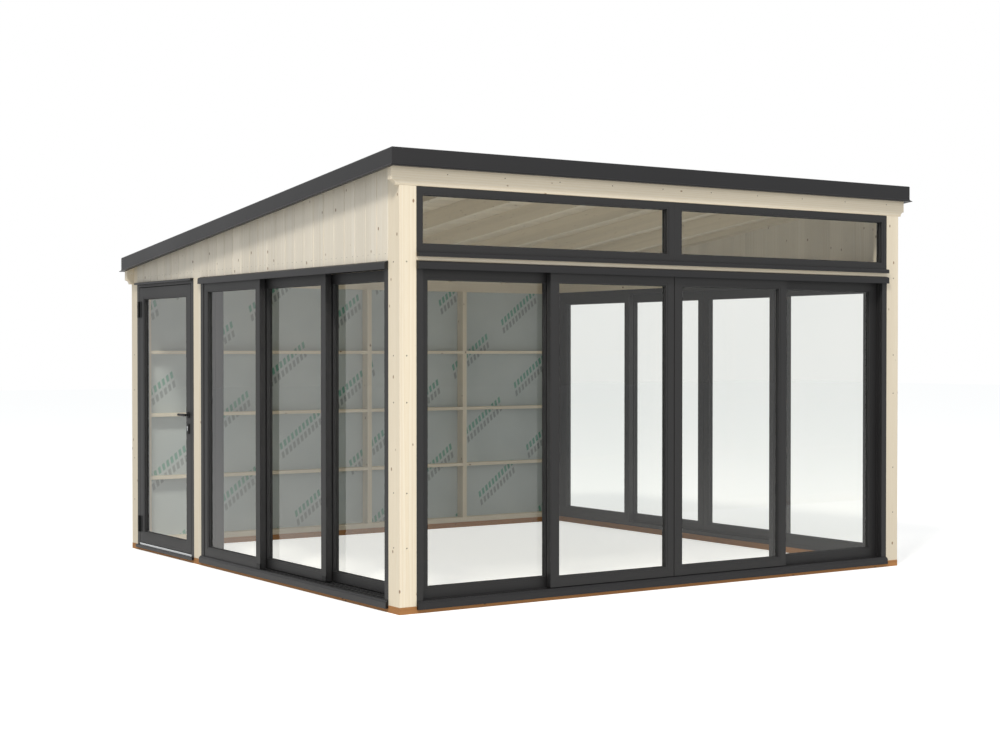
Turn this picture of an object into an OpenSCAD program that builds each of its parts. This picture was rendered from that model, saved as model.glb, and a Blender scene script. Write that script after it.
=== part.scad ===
// Mono-pitch timber summerhouse with sliding glass walls.
// Frame: X to the right, Y from the front wall to the rear, Z up. The ground is Z = 0.
// Wall pieces are drawn in wall coordinates: u along the wall, v inwards from its outer face, Z up.

/* [Walls] */
// Outside width of the walls, left to right
wall_w = 4380; // [3650:10:5300]
// Outside depth of the walls, front to rear
wall_d = 4355; // [3800:5:5300]
// Height of the impregnated sole plates
sole_h = 46; // [36:1:70]
// How far a side sole reaches in past the door frame on it
sole_edge = 3; // [0:1:15]
// Width of a corner post across the front and the rear
post_w = 122; // [95:1:150]
// Depth of a front corner post along the side
front_post_d = 140; // [110:1:170]
// Depth of a rear corner post along the side
rear_post_d = 120; // [95:1:150]
// Width of the post between the two left doors
mid_post_w = 134; // [95:1:165]
// Thickness of the vertical cladding boards
board_t = 18; // [14:1:25]

/* [Beams and roof] */
// Slope of the roof in degrees
pitch = 6.15; // [3:0.05:7.5]
// Height of the front and rear beams
beam_h = 200; // [195:5:245]
// Thickness of the front and rear beams
beam_t = 45; // [36:1:60]
// Length of each beam end that stands proud of the side wall
beam_proud = 60; // [30:1:72]
// Radius of the cove cut under each beam end
cove_r = 32; // [15:1:50]
// How far the rear beam reaches down below the door heads
beam_drop = 9; // [0:1:20]
// Height of the beams over the side doors
head_beam_h = 120; // [90:5:140]
// Width of the beams over the side doors
head_beam_w = 95; // [70:5:120]
// Height of the rail between the front doors and the upper window
transom_h = 55; // [40:1:80]
// Height of a rafter, square to the roof
rafter_h = 120; // [95:5:140]
// Thickness of a rafter and of the wall studs
stud_t = 45; // [36:1:60]
// Number of rafters
rafter_count = 6; // [4:1:9]
// Thickness of the roof boards
deck_t = 18; // [15:1:28]
// Thickness of the roof covering
cover_t = 4; // [2:0.5:8]
// Roof overhang at the front
over_front = 41; // [30:1:60]
// Roof overhang at the rear
over_rear = 30; // [25:1:60]
// Roof overhang at each side
over_side = 78; // [75:1:110]
// Height of the roof edge boards
fascia_h = 115; // [90:5:150]
// Thickness of the roof edge boards
fascia_t = 18; // [14:1:24]
// How far the drip lip stands out of the roof edge
drip_out = 14; // [6:1:25]
// Height of the drip lip
drip_h = 14; // [6:1:25]

/* [Rear wall] */
// Depth of the studs
stud_d = 95; // [70:5:120]
// Spacing of the studs
stud_pitch = 1010; // [800:5:1040]
// Height of a noggin
noggin_h = 28; // [22:1:45]
// Height from one noggin row to the next
noggin_pitch = 520; // [450:5:600]
// Thickness of the wind membrane
membrane_t = 2; // [1:0.5:4]

/* [Sliding doors] */
// Height of the door frames, from the sole to the head
door_frame_h = 2144; // [2000:1:2573]
// Width of a frame jamb
jamb_w = 48; // [35:1:60]
// Height of the frame head
head_h = 40; // [30:1:50]
// Height of the sill of a sliding door
sill_h = 30; // [22:1:40]
// Width of a sash stile
stile_w = 72; // [50:1:87]
// Height of the visible part of a sash rail
rail_h = 74; // [55:1:90]
// Thickness of a sash
sash_t = 45; // [38:1:50]
// Distance from one track to the next
track_pitch = 57; // [56:1:68]
// Distance from the frame's face to the outer track's sash
track_in = 4; // [2:1:10]
// Gap round a sash that moves
run_gap = 5; // [5:0.5:8]
// Radius of a sash roller
roller_r = 12; // [10:1:16]
// Width of a sash roller
roller_w = 10; // [6:1:14]
// Gap between a roller and the sill
roller_gap = 0.3; // [0.1:0.1:1]
// Thickness of a pane
glass_t = 6; // [4:1:14]
// Depth of the groove that holds a pane
glass_in = 12; // [8:1:18]
// Width of the left sliding door
left_door_w = 2830; // [2400:10:2900]

/* [Upper window] */
// Depth of the upper window's frame
window_d = 60; // [50:1:80]
// Width of the upper window's frame members
window_bar = 50; // [40:1:60]
// Width of the upper window's middle mullion
mullion_w = 132; // [90:1:160]
// Fitting gap in front of the upper window's frame and above it
window_gap = 2; // [1:0.5:4]

/* [Side door] */
// Width of the leaf's stiles and rails
leaf_bar = 92; // [80:1:110]
// Depth of the side door's frame
side_frame_d = 70; // [60:1:100]
// Height of the threshold
threshold_h = 16; // [12:1:25]
// Gap round the leaf
leaf_gap = 5; // [5:0.5:7]
// Length of a hinge
hinge_l = 130; // [90:5:160]
// Height of the lower hinge's middle above the leaf's bottom edge
hinge_low = 150; // [110:5:300]
// Depth of the upper hinge's middle below the leaf's top edge
hinge_high = 175; // [110:5:300]
// Radius of a hinge's barrel
barrel_r = 9; // [7:0.5:9]
// Gap between a hinge's barrel and the leaf behind it
barrel_off = 1; // [0.5:0.5:3]
// Gap between a hinge's barrel and the plate beside it
barrel_gap = 1.5; // [1:0.5:3]
// Width of a hinge plate
hinge_plate_w = 34; // [26:1:36]
// Thickness of a hinge plate
hinge_plate_t = 3; // [2:0.5:4]
// Gap between one knuckle and the next
knuckle_gap = 0.3; // [0.1:0.1:0.6]
// Radius of a hinge pin
pin_r = 4; // [3:0.5:5]
// Radial clearance of the hinge pin
pin_gap = 0.05; // [0.02:0.01:0.1]
// Height of the lever above the ground
lever_z = 1137; // [950:1:1250]
// Length of the lever from its spindle
lever_l = 135; // [110:1:150]
// How far the lever's grips stand off the leaf
grip_out = 37; // [32:1:50]
// Depth of a grip
grip_t = 14; // [10:1:18]
// Height of a grip
grip_h = 20; // [14:1:26]
// Radius of a rose
rose_r = 24; // [20:1:28]
// Thickness of the roses and the cylinder plates
rose_t = 8; // [5:1:10]
// Height from the middle of a cylinder plate up to the lever
lock_drop = 108; // [80:1:140]
// Width of a cylinder plate
lock_plate_w = 32; // [24:1:40]
// Height of a cylinder plate
lock_plate_h = 78; // [60:1:90]
// Radius of the lever's spindle
spindle_r = 9; // [7:0.5:11]
// Radial clearance of the spindle
spindle_gap = 0.3; // [0.1:0.1:0.6]

/* [Flashings] */
// How far the head flashings stand out
head_flash_out = 26; // [15:1:40]
// Height of the flashing over a sliding door
head_flash_h = 52; // [35:1:60]
// Height of the flashing under the upper window
window_flash_h = 30; // [20:1:40]
// Height of the flashing over the side door
side_flash_h = 18; // [12:1:30]
// Thickness of a head flashing's upper edge
head_flash_lip = 4; // [2:1:8]
// How far the sill flashings stand out
sill_flash_out = 20; // [10:1:30]
// Height of a sliding door's sill flashing
sill_flash_h = 50; // [30:1:55]
// Thickness of a sill flashing's upper edge
sill_flash_lip = 8; // [4:1:10]
// Depth of a sill flashing's upper edge below the sill's top
sill_flash_down = 2; // [0:1:6]

/* [Hidden] */
$fn = 48;

timber = "#e6d9bf";
brown = "#b57a45";
dark = "#3c3d40";
clear_glass = [0.75, 0.82, 0.82, 0.4];

// The roof's box is centred on the origin, so the walls sit a little to the rear of it.
front_y = -(wall_d + over_front + over_rear) / 2 + over_front;
rear_y = front_y + wall_d;
slope = tan(pitch);
head_z = sole_h + door_frame_h;
rear_h = head_z - beam_drop;
front_h = rear_h + wall_d * slope;
transom_z = head_z + transom_h;
window_top = front_h - window_gap;
front_door_w = wall_w - 2 * post_w;
right_door_w = wall_d - front_post_d - rear_post_d;
mid_post_d = board_t + head_beam_w;
side_door_u = front_post_d + left_door_w + mid_post_w;
side_door_w = wall_d - rear_post_d - side_door_u;
deck_v = deck_t / cos(pitch);
cover_v = cover_t / cos(pitch);
roof_half_w = wall_w / 2 + over_side;
cladding_in = board_t + membrane_t;
stud_face = rear_y - cladding_in - stud_d;
sash_z = sole_h + sill_h;
sash_top = head_z - head_h;
glass_z = sash_z + rail_h;
glass_top = sash_top - rail_h;
fudge = 1;

// Height of the underside of the roof boards, v millimetres in from the front wall's face.
function deck_under(v) = front_h + beam_h - v * slope;
// Depth of a door frame with n tracks.
function frame_depth(n) = track_in * 2 + (n - 1) * track_pitch + sash_t;
// Width of the sole under a side wall whose widest door has n tracks.
function side_sole_w(n) = max(post_w, frame_depth(n) + sole_edge);
// Width of each of n sashes in a door w wide, with one overlapping stile for each of `laps` laps.
function sash_width(w, n, laps, meets) =
    (w - 2 * jamb_w - 2 * run_gap - meets * run_gap + laps * stile_w) / n;

// ---- Placing on a wall ---------------------------------------------------------------------

module on_front() translate([-wall_w / 2, front_y, 0]) children();
module on_left() translate([-wall_w / 2, front_y, 0]) mirror([1, -1, 0]) children();
module on_right() translate([wall_w / 2, front_y, 0]) rotate(90) children();

// A copy at each end of the building, left and right.
module both_sides() {
    children();
    mirror([1, 0, 0]) children();
}

// A shape in the Y-Z plane, pushed along X from x0 to x1.
module along_x(x0, x1, points) {
    translate([x0, 0, 0]) rotate([90, 0, 90]) linear_extrude(x1 - x0) polygon(points);
}

// A slab under the roof's slope: v0 to v1 from the front wall's face, top `down` below the roof
// boards' underside and `thick` high, both measured upright.
module roof_slab(x0, x1, v0, v1, down, thick) {
    along_x(x0, x1, [
        [front_y + v0, deck_under(v0) - down - thick],
        [front_y + v1, deck_under(v1) - down - thick],
        [front_y + v1, deck_under(v1) - down],
        [front_y + v0, deck_under(v0) - down]
    ]);
}

// ---- Soles and posts -----------------------------------------------------------------------

module soles_across() {
    color(brown) {
        on_front() cube([wall_w, front_post_d, sole_h]);
        on_front() translate([0, wall_d - rear_post_d, 0]) cube([wall_w, rear_post_d, sole_h]);
    }
}

module soles_along() {
    color(brown) {
        on_left() translate([front_post_d, 0, 0])
            cube([right_door_w, side_sole_w(3), sole_h]);
        on_right() translate([front_post_d, 0, 0])
            cube([right_door_w, side_sole_w(2), sole_h]);
    }
}

// Each post runs up to the roof boards and is notched for the beam that lies across it.
module corner_posts() {
    x0 = -wall_w / 2;
    v_rear = wall_d - rear_post_d;
    color(timber) both_sides() {
        along_x(x0, x0 + post_w, [
            [front_y, sole_h],
            [front_y + front_post_d, sole_h],
            [front_y + front_post_d, deck_under(front_post_d)],
            [front_y + beam_t, deck_under(beam_t)],
            [front_y + beam_t, front_h],
            [front_y, front_h]
        ]);
        along_x(x0, x0 + post_w, [
            [front_y + v_rear, sole_h],
            [rear_y, sole_h],
            [rear_y, rear_h],
            [rear_y - beam_t, rear_h],
            [rear_y - beam_t, deck_under(wall_d - beam_t)],
            [front_y + v_rear, deck_under(v_rear)]
        ]);
    }
}

module left_mid_post() {
    color(timber) on_left()
        translate([front_post_d + left_door_w, 0, sole_h]) cube([mid_post_w, mid_post_d, door_frame_h]);
}

// ---- Beams ---------------------------------------------------------------------------------

// A beam across the building, its top cut to the roof's slope and its ends coved below.
module cross_beam(v0, under) {
    x0 = -wall_w / 2 - beam_proud;
    difference() {
        along_x(x0, -x0, [
            [front_y + v0, under],
            [front_y + v0 + beam_t, under],
            [front_y + v0 + beam_t, deck_under(v0 + beam_t)],
            [front_y + v0, deck_under(v0)]
        ]);
        both_sides() translate([x0, front_y + v0 - fudge, under])
            rotate([-90, 0, 0]) cylinder(r = cove_r, h = beam_t + 2 * fudge);
    }
}

module front_beam() {
    color(timber) cross_beam(0, front_h);
}

module rear_beam() {
    color(timber) cross_beam(wall_d - beam_t, rear_h);
}

module side_head_beams() {
    color(timber) both_sides() on_left()
        translate([front_post_d, board_t, head_z]) cube([right_door_w, head_beam_w, head_beam_h]);
}

module front_transom() {
    color(timber) on_front()
        translate([post_w, 0, head_z]) cube([front_door_w, head_beam_w, transom_h]);
}

// ---- Rear wall -----------------------------------------------------------------------------

stud_x = [for (i = [-1:1]) i * stud_pitch];
bay_edge = concat([-wall_w / 2 + post_w - stud_t / 2], stud_x, [wall_w / 2 - post_w + stud_t / 2]);

// The bottom plate, and three rows of noggins between the studs.
module rear_rails() {
    color(timber) {
        translate([-wall_w / 2 + post_w, stud_face, sole_h]) cube([front_door_w, stud_d, stud_t]);
        for (row = [1:3], bay = [0:3]) {
            x0 = bay_edge[bay] + stud_t / 2;
            translate([x0, stud_face, sole_h + row * noggin_pitch])
                cube([bay_edge[bay + 1] - stud_t / 2 - x0, stud_d, noggin_h]);
        }
    }
}

module rear_studs() {
    color(timber) for (x = stud_x)
        translate([x - stud_t / 2, stud_face, sole_h + stud_t])
            cube([stud_t, stud_d, rear_h - sole_h - stud_t]);
}

module rear_membrane() {
    color("#a9b3b3") translate([-wall_w / 2 + post_w, rear_y - cladding_in, sole_h])
        cube([front_door_w, membrane_t, rear_h - sole_h]);
}

module rear_cladding() {
    color(timber) translate([-wall_w / 2 + post_w, rear_y - board_t, sole_h])
        cube([front_door_w, board_t, rear_h - sole_h]);
}

// ---- Gables and roof -----------------------------------------------------------------------

module gable_cladding() {
    x0 = -wall_w / 2;
    v1 = wall_d - rear_post_d;
    color(timber) both_sides() along_x(x0, x0 + board_t, [
        [front_y + front_post_d, head_z],
        [front_y + v1, head_z],
        [front_y + v1, deck_under(v1)],
        [front_y + front_post_d, deck_under(front_post_d)]
    ]);
}

module gable_plates() {
    x0 = -wall_w / 2 + board_t;
    color(timber) both_sides()
        roof_slab(x0, x0 + head_beam_w, front_post_d, wall_d - rear_post_d, 0, stud_t / cos(pitch));
}

module rafters() {
    clear_w = wall_w - 2 * (board_t + head_beam_w);
    step = clear_w / (rafter_count + 1);
    color(timber) for (i = [1:rafter_count]) {
        x = -clear_w / 2 + i * step;
        roof_slab(x - stud_t / 2, x + stud_t / 2, beam_t, wall_d - beam_t, 0, rafter_h / cos(pitch));
    }
}

module roof_deck() {
    x0 = -roof_half_w + fascia_t;
    color(timber)
        roof_slab(x0, -x0, fascia_t - over_front, wall_d + over_rear - fascia_t, -deck_v, deck_v);
}

module roof_cover() {
    x0 = -roof_half_w + fascia_t;
    color(dark) roof_slab(x0, -x0, fascia_t - over_front, wall_d + over_rear - fascia_t,
        -deck_v - cover_v, cover_v);
}

// The roof edge along the front or the rear: a board with a drip lip. v is its outer face and
// `out` is -1 at the front and 1 at the rear.
module end_fascia(v, out) {
    top = deck_under(v) + deck_v + cover_v;
    y = front_y + v;
    along_x(-roof_half_w, roof_half_w, [
        [y, top],
        [y - out * fascia_t, deck_under(v - out * fascia_t) + deck_v + cover_v],
        [y - out * fascia_t, top - fascia_h],
        [y + out * drip_out, top - fascia_h],
        [y, top - fascia_h + drip_h]
    ]);
}

module end_fascias() {
    color(dark) {
        end_fascia(-over_front, -1);
        end_fascia(wall_d + over_rear, 1);
    }
}

// The sloping roof edges run between the front and rear ones. The profile is pushed along the
// slope and then cut upright at both ends.
module side_fascias() {
    v0 = fascia_t - over_front;
    v1 = wall_d + over_rear - fascia_t;
    run = (v1 - v0) / cos(pitch) + 2 * fascia_h;
    drop = fascia_h * cos(pitch);
    lip = drip_h * cos(pitch);
    color(dark) both_sides() intersection() {
        translate([-roof_half_w, front_y + v0, deck_under(v0) + deck_v + cover_v])
            rotate([-pitch, 0, 0]) translate([0, -fascia_h, 0]) rotate([-90, 0, 0])
                linear_extrude(run) polygon([
                    [0, 0],
                    [fascia_t, 0],
                    [fascia_t, drop],
                    [-drip_out, drop],
                    [0, drop - lip]
                ]);
        translate([-roof_half_w - 2 * drip_out, front_y + v0, 0])
            cube([fascia_t + 3 * drip_out, v1 - v0, front_h * 2]);
    }
}

// ---- Sashes and panes ----------------------------------------------------------------------

// A pane in a ring-shaped frame whose inner edge is the box u0..u1, z0..z1.
module pane(u0, u1, z0, z1, v) {
    color(clear_glass) translate([u0 - glass_in, v - glass_t / 2, z0 - glass_in])
        cube([u1 - u0 + 2 * glass_in, glass_t, z1 - z0 + 2 * glass_in]);
}

// A ring-shaped frame: outer box u0..u1, z0..z1, with members `side` wide and `low` and `high`
// tall, `deep` thick from v, and a groove for its pane.
module glazed_ring(u0, u1, z0, z1, side, low, high, v, deep) {
    difference() {
        translate([u0, v, z0]) cube([u1 - u0, deep, z1 - z0]);
        translate([u0 + side, v - fudge, z0 + low])
            cube([u1 - u0 - 2 * side, deep + 2 * fudge, z1 - z0 - low - high]);
        pane(u0 + side, u1 - side, z0 + low, z1 - high, v + deep / 2);
    }
}

function track_v(track) = track_in + track * track_pitch;

// A sash that stays: it is seated on the sill and under the head.
module fixed_sash(u, w, track) {
    color(dark)
        glazed_ring(u, u + w, sash_z, sash_top, stile_w, rail_h, rail_h, track_v(track), sash_t);
}

// A sash that slides, on two rollers, with a running gap above and below.
module sliding_sash(u, w, track) {
    v = track_v(track);
    low = rail_h - run_gap;
    color(dark) {
        glazed_ring(u, u + w, sash_z + run_gap, sash_top - run_gap, stile_w, low, low, v, sash_t);
        for (end = [stile_w, w - stile_w])
            translate([u + end, v + (sash_t - roller_w) / 2, sash_z + roller_r + roller_gap])
                rotate([-90, 0, 0]) cylinder(r = roller_r, h = roller_w);
    }
}

module sash_pane(u, w, track) {
    pane(u + stile_w, u + w - stile_w, glass_z, glass_top, track_v(track) + sash_t / 2);
}

// A door frame with its head, sill and two jambs round the tracks.
module track_frame(u, w, tracks) {
    deep = frame_depth(tracks);
    color(dark) difference() {
        translate([u, 0, sole_h]) cube([w, deep, door_frame_h]);
        translate([u + jamb_w, -fudge, sash_z])
            cube([w - 2 * jamb_w, deep + 2 * fudge, sash_top - sash_z]);
    }
}

// ---- Front door: the two middle sashes slide outwards in front of the fixed ones --------------

front_sash_w = sash_width(front_door_w, 4, 2, 1);
front_u1 = post_w + jamb_w;
front_u2 = front_u1 + front_sash_w + run_gap - stile_w;
front_u3 = front_u2 + front_sash_w + run_gap;
front_u4 = wall_w - post_w - jamb_w - front_sash_w - run_gap;

module front_door_frame() {
    on_front() track_frame(post_w, front_door_w, 2);
}

// A fixed sash reaches a running gap further, to its jamb.
module front_fixed_sashes() {
    on_front() {
        fixed_sash(front_u1, front_sash_w + run_gap, 1);
        fixed_sash(front_u4, front_sash_w + run_gap, 1);
    }
}

module front_sash_left() {
    on_front() sliding_sash(front_u2, front_sash_w, 0);
}

module front_sash_left_glass() {
    on_front() sash_pane(front_u2, front_sash_w, 0);
}

module front_sash_right() {
    on_front() sliding_sash(front_u3, front_sash_w, 0);
}

module front_sash_right_glass() {
    on_front() sash_pane(front_u3, front_sash_w, 0);
}

// ---- Left door: the front and middle sashes slide to the rear, behind the fixed one -----------

left_sash_w = sash_width(left_door_w, 3, 2, 0);
left_u_front = front_post_d + jamb_w + run_gap;
left_u_middle = left_u_front + left_sash_w - stile_w;
left_u_fixed = left_u_middle + left_sash_w - stile_w;

module left_door_frame() {
    on_left() track_frame(front_post_d, left_door_w, 3);
}

module left_fixed_sash() {
    on_left() fixed_sash(left_u_fixed, left_sash_w + run_gap, 0);
}

module left_sash_middle() {
    on_left() sliding_sash(left_u_middle, left_sash_w, 1);
}

module left_sash_middle_glass() {
    on_left() sash_pane(left_u_middle, left_sash_w, 1);
}

module left_sash_front() {
    on_left() sliding_sash(left_u_front, left_sash_w, 2);
}

module left_sash_front_glass() {
    on_left() sash_pane(left_u_front, left_sash_w, 2);
}

// ---- Right door: as the front one, along the right wall ---------------------------------------

right_sash_w = sash_width(right_door_w, 4, 2, 1);
right_u1 = front_post_d + jamb_w;
right_u2 = right_u1 + right_sash_w + run_gap - stile_w;
right_u3 = right_u2 + right_sash_w + run_gap;
right_u4 = wall_d - rear_post_d - jamb_w - right_sash_w - run_gap;

module right_door_frame() {
    on_right() track_frame(front_post_d, right_door_w, 2);
}

module right_fixed_sashes() {
    on_right() {
        fixed_sash(right_u1, right_sash_w + run_gap, 1);
        fixed_sash(right_u4, right_sash_w + run_gap, 1);
    }
}

module right_sash_front() {
    on_right() sliding_sash(right_u2, right_sash_w, 0);
}

module right_sash_front_glass() {
    on_right() sash_pane(right_u2, right_sash_w, 0);
}

module right_sash_rear() {
    on_right() sliding_sash(right_u3, right_sash_w, 0);
}

module right_sash_rear_glass() {
    on_right() sash_pane(right_u3, right_sash_w, 0);
}

// ---- Upper window ------------------------------------------------------------------------------

pane_w = (front_door_w - mullion_w) / 2 - window_bar;
window_u = [post_w + window_bar, wall_w - post_w - window_bar - pane_w];

module window_panes() {
    for (u = window_u)
        pane(u, u + pane_w, transom_z + window_bar, window_top - window_bar, window_gap + window_d / 2);
}

module upper_window_frame() {
    tall = window_top - transom_z;
    color(dark) on_front() difference() {
        translate([post_w, window_gap, transom_z]) cube([front_door_w, window_d, tall]);
        for (u = window_u)
            translate([u, window_gap - fudge, transom_z + window_bar])
                cube([pane_w, window_d + 2 * fudge, tall - 2 * window_bar]);
        window_panes();
    }
}

// Every pane that doesn't move.
module fixed_glass() {
    on_front() {
        sash_pane(front_u1, front_sash_w + run_gap, 1);
        sash_pane(front_u4, front_sash_w + run_gap, 1);
        window_panes();
    }
    on_left() sash_pane(left_u_fixed, left_sash_w + run_gap, 0);
    on_right() {
        sash_pane(right_u1, right_sash_w + run_gap, 1);
        sash_pane(right_u4, right_sash_w + run_gap, 1);
    }
}

// ---- Flashings ---------------------------------------------------------------------------------

// Share of a flashing's height at which its slope meets its nose.
nose_share = 0.45;

// A flashing lies against the wall's face from u to u + w: `tall` high with its top at z, its
// nose standing `out` proud at the bottom and `lip` at the top.
module flashing(u, w, z, tall, out, lip) {
    color(dark) translate([u, 0, z]) rotate([90, 0, 90]) linear_extrude(w) polygon([
        [0, 0],
        [-lip, 0],
        [-out, -tall * nose_share],
        [-out, -tall],
        [0, -tall]
    ]);
}

module head_flashing(u, w, z, tall) {
    flashing(u, w, z, tall, head_flash_out, head_flash_lip);
}

module head_flashings() {
    on_front() {
        head_flashing(post_w, front_door_w, transom_z, window_flash_h);
        head_flashing(post_w, front_door_w, head_z, head_flash_h);
    }
    on_left() {
        head_flashing(front_post_d, left_door_w, head_z, head_flash_h);
        head_flashing(side_door_u, side_door_w, head_z, side_flash_h);
    }
    on_right() head_flashing(front_post_d, right_door_w, head_z, head_flash_h);
}

module sill_flashing(u, w, z, tall) {
    flashing(u, w, z, tall, sill_flash_out, sill_flash_lip);
}

module sill_flashings() {
    top = sash_z - sill_flash_down;
    on_front() sill_flashing(post_w, front_door_w, top, sill_flash_h);
    on_left() {
        sill_flashing(front_post_d, left_door_w, top, sill_flash_h);
        sill_flashing(side_door_u, side_door_w, sole_h, sole_h / 2);
    }
    on_right() sill_flashing(front_post_d, right_door_w, top, sill_flash_h);
}

// ---- Side door ---------------------------------------------------------------------------------

leaf_u0 = side_door_u + jamb_w + leaf_gap;
leaf_u1 = side_door_u + side_door_w - jamb_w - leaf_gap;
leaf_z0 = sole_h + threshold_h + leaf_gap;
leaf_z1 = head_z - head_h - leaf_gap;
hinge_u = leaf_u1 + leaf_gap / 2;
hinge_v = -barrel_r - barrel_off;
hinge_z = [leaf_z0 + hinge_low, leaf_z1 - hinge_high];
knuckle_l = hinge_l / 3;
web_t = hinge_plate_t - 2 * knuckle_gap;

module side_door_frame() {
    z0 = sole_h;
    color(dark) on_left() difference() {
        translate([side_door_u, 0, z0]) cube([side_door_w, side_frame_d, door_frame_h]);
        translate([side_door_u + jamb_w, -fudge, z0 - fudge])
            cube([side_door_w - 2 * jamb_w, side_frame_d + 2 * fudge, door_frame_h - head_h + fudge]);
    }
}

module side_door_threshold() {
    color("#b9bcbf") on_left() translate([side_door_u + jamb_w, 0, sole_h])
        cube([side_door_w - 2 * jamb_w, side_frame_d, threshold_h]);
}

module side_door_leaf() {
    color(dark) on_left() difference() {
        glazed_ring(leaf_u0, leaf_u1, leaf_z0, leaf_z1, leaf_bar, leaf_bar, leaf_bar, 0, sash_t);
        spindle_bore();
    }
}

module side_door_glass() {
    on_left() pane(leaf_u0 + leaf_bar, leaf_u1 - leaf_bar, leaf_z0 + leaf_bar, leaf_z1 - leaf_bar,
        sash_t / 2);
}

// One plate of a hinge, with the web that joins it to the barrel between z0 and z1.
// `way` is 1 on the jamb and -1 on the leaf.
module hinge_plate(z, way, z0, z1) {
    free = barrel_r + barrel_gap;
    start = way > 0 ? hinge_u + free : hinge_u - free - hinge_plate_w;
    translate([start, -hinge_plate_t, z - hinge_l / 2]) cube([hinge_plate_w, hinge_plate_t, hinge_l]);
    web = way > 0 ? hinge_u : hinge_u - free - hinge_plate_t;
    translate([web, -hinge_plate_t, z0]) cube([free + hinge_plate_t, web_t, z1 - z0]);
}

module barrel(z0, z1) {
    translate([hinge_u, hinge_v, z0]) cylinder(r = barrel_r, h = z1 - z0);
}

// The jamb's half has the outer knuckles and the pin.
module hinge_jamb_halves() {
    color(dark) on_left() for (z = hinge_z) {
        low = z - hinge_l / 2;
        union() {
            barrel(low, low + knuckle_l);
            barrel(low + 2 * knuckle_l, low + hinge_l);
            translate([hinge_u, hinge_v, low]) cylinder(r = pin_r, h = hinge_l);
            hinge_plate(z, 1, low, low + knuckle_l);
            hinge_plate(z, 1, low + 2 * knuckle_l, low + hinge_l);
        }
    }
}

// The leaf's half has the middle knuckle, bored for the pin.
module hinge_leaf_halves() {
    color(dark) on_left() for (z = hinge_z) {
        low = z - knuckle_l / 2 + knuckle_gap;
        high = z + knuckle_l / 2 - knuckle_gap;
        difference() {
            union() {
                barrel(low, high);
                hinge_plate(z, -1, low, high);
            }
            translate([hinge_u, hinge_v, low - fudge])
                cylinder(r = pin_r + pin_gap, h = high - low + 2 * fudge);
        }
    }
}

// ---- Lock and lever ----------------------------------------------------------------------------

lock_u = leaf_u0 + leaf_bar / 2;

// The hole for the lever's spindle, through the leaf and both roses.
module spindle_bore() {
    translate([lock_u, -rose_t - fudge, lever_z]) rotate([-90, 0, 0])
        cylinder(r = spindle_r + spindle_gap, h = sash_t + 2 * rose_t + 2 * fudge);
}

// A rose and a cylinder plate on each face of the leaf.
module side_door_lock() {
    color(dark) on_left() difference() {
        for (v = [-rose_t, sash_t]) {
            translate([lock_u, v, lever_z]) rotate([-90, 0, 0]) cylinder(r = rose_r, h = rose_t);
            translate([lock_u - lock_plate_w / 2, v, lever_z - lock_drop - lock_plate_h / 2])
                cube([lock_plate_w, rose_t, lock_plate_h]);
        }
        spindle_bore();
    }
}

// The spindle through the leaf, with a grip on each side that points to the hinges.
module side_door_lever() {
    color("#26272a") on_left() union() {
        translate([lock_u, -grip_out, lever_z]) rotate([-90, 0, 0])
            cylinder(r = spindle_r, h = sash_t + 2 * grip_out);
        for (v = [-grip_out, sash_t + grip_out - grip_t])
            translate([lock_u - spindle_r, v, lever_z - grip_h / 2])
                cube([lever_l + spindle_r, grip_t, grip_h]);
    }
}

soles_across();
soles_along();
corner_posts();
left_mid_post();
front_beam();
rear_beam();
side_head_beams();
front_transom();
rear_rails();
rear_studs();
rear_membrane();
rear_cladding();
gable_cladding();
gable_plates();
rafters();
roof_deck();
roof_cover();
end_fascias();
side_fascias();
upper_window_frame();
fixed_glass();
front_door_frame();
front_fixed_sashes();
front_sash_left();
front_sash_left_glass();
front_sash_right();
front_sash_right_glass();
left_door_frame();
left_fixed_sash();
left_sash_middle();
left_sash_middle_glass();
left_sash_front();
left_sash_front_glass();
right_door_frame();
right_fixed_sashes();
right_sash_front();
right_sash_front_glass();
right_sash_rear();
right_sash_rear_glass();
head_flashings();
sill_flashings();
side_door_frame();
side_door_threshold();
side_door_leaf();
side_door_glass();
hinge_jamb_halves();
hinge_leaf_halves();
side_door_lock();
side_door_lever();
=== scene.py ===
import bpy
import numpy as np
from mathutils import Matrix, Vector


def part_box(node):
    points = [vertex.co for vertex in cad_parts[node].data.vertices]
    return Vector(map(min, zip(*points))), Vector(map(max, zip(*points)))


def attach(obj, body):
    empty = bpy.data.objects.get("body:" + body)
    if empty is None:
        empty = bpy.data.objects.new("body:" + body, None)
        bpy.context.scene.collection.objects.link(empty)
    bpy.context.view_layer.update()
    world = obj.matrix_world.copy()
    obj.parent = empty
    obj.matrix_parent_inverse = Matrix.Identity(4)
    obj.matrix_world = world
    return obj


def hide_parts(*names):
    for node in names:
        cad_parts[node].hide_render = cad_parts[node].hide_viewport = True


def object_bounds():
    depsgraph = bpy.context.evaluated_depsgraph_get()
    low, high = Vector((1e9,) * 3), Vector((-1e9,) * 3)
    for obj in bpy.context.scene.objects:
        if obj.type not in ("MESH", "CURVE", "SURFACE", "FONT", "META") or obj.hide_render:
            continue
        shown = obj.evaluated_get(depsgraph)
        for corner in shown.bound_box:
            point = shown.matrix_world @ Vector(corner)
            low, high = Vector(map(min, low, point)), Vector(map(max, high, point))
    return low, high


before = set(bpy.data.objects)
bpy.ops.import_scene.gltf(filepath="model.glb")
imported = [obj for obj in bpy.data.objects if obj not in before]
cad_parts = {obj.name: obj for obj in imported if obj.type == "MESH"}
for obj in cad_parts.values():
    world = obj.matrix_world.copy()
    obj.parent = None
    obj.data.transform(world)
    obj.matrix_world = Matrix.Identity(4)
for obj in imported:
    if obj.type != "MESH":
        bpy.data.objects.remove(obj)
cad_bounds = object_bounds()

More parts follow.
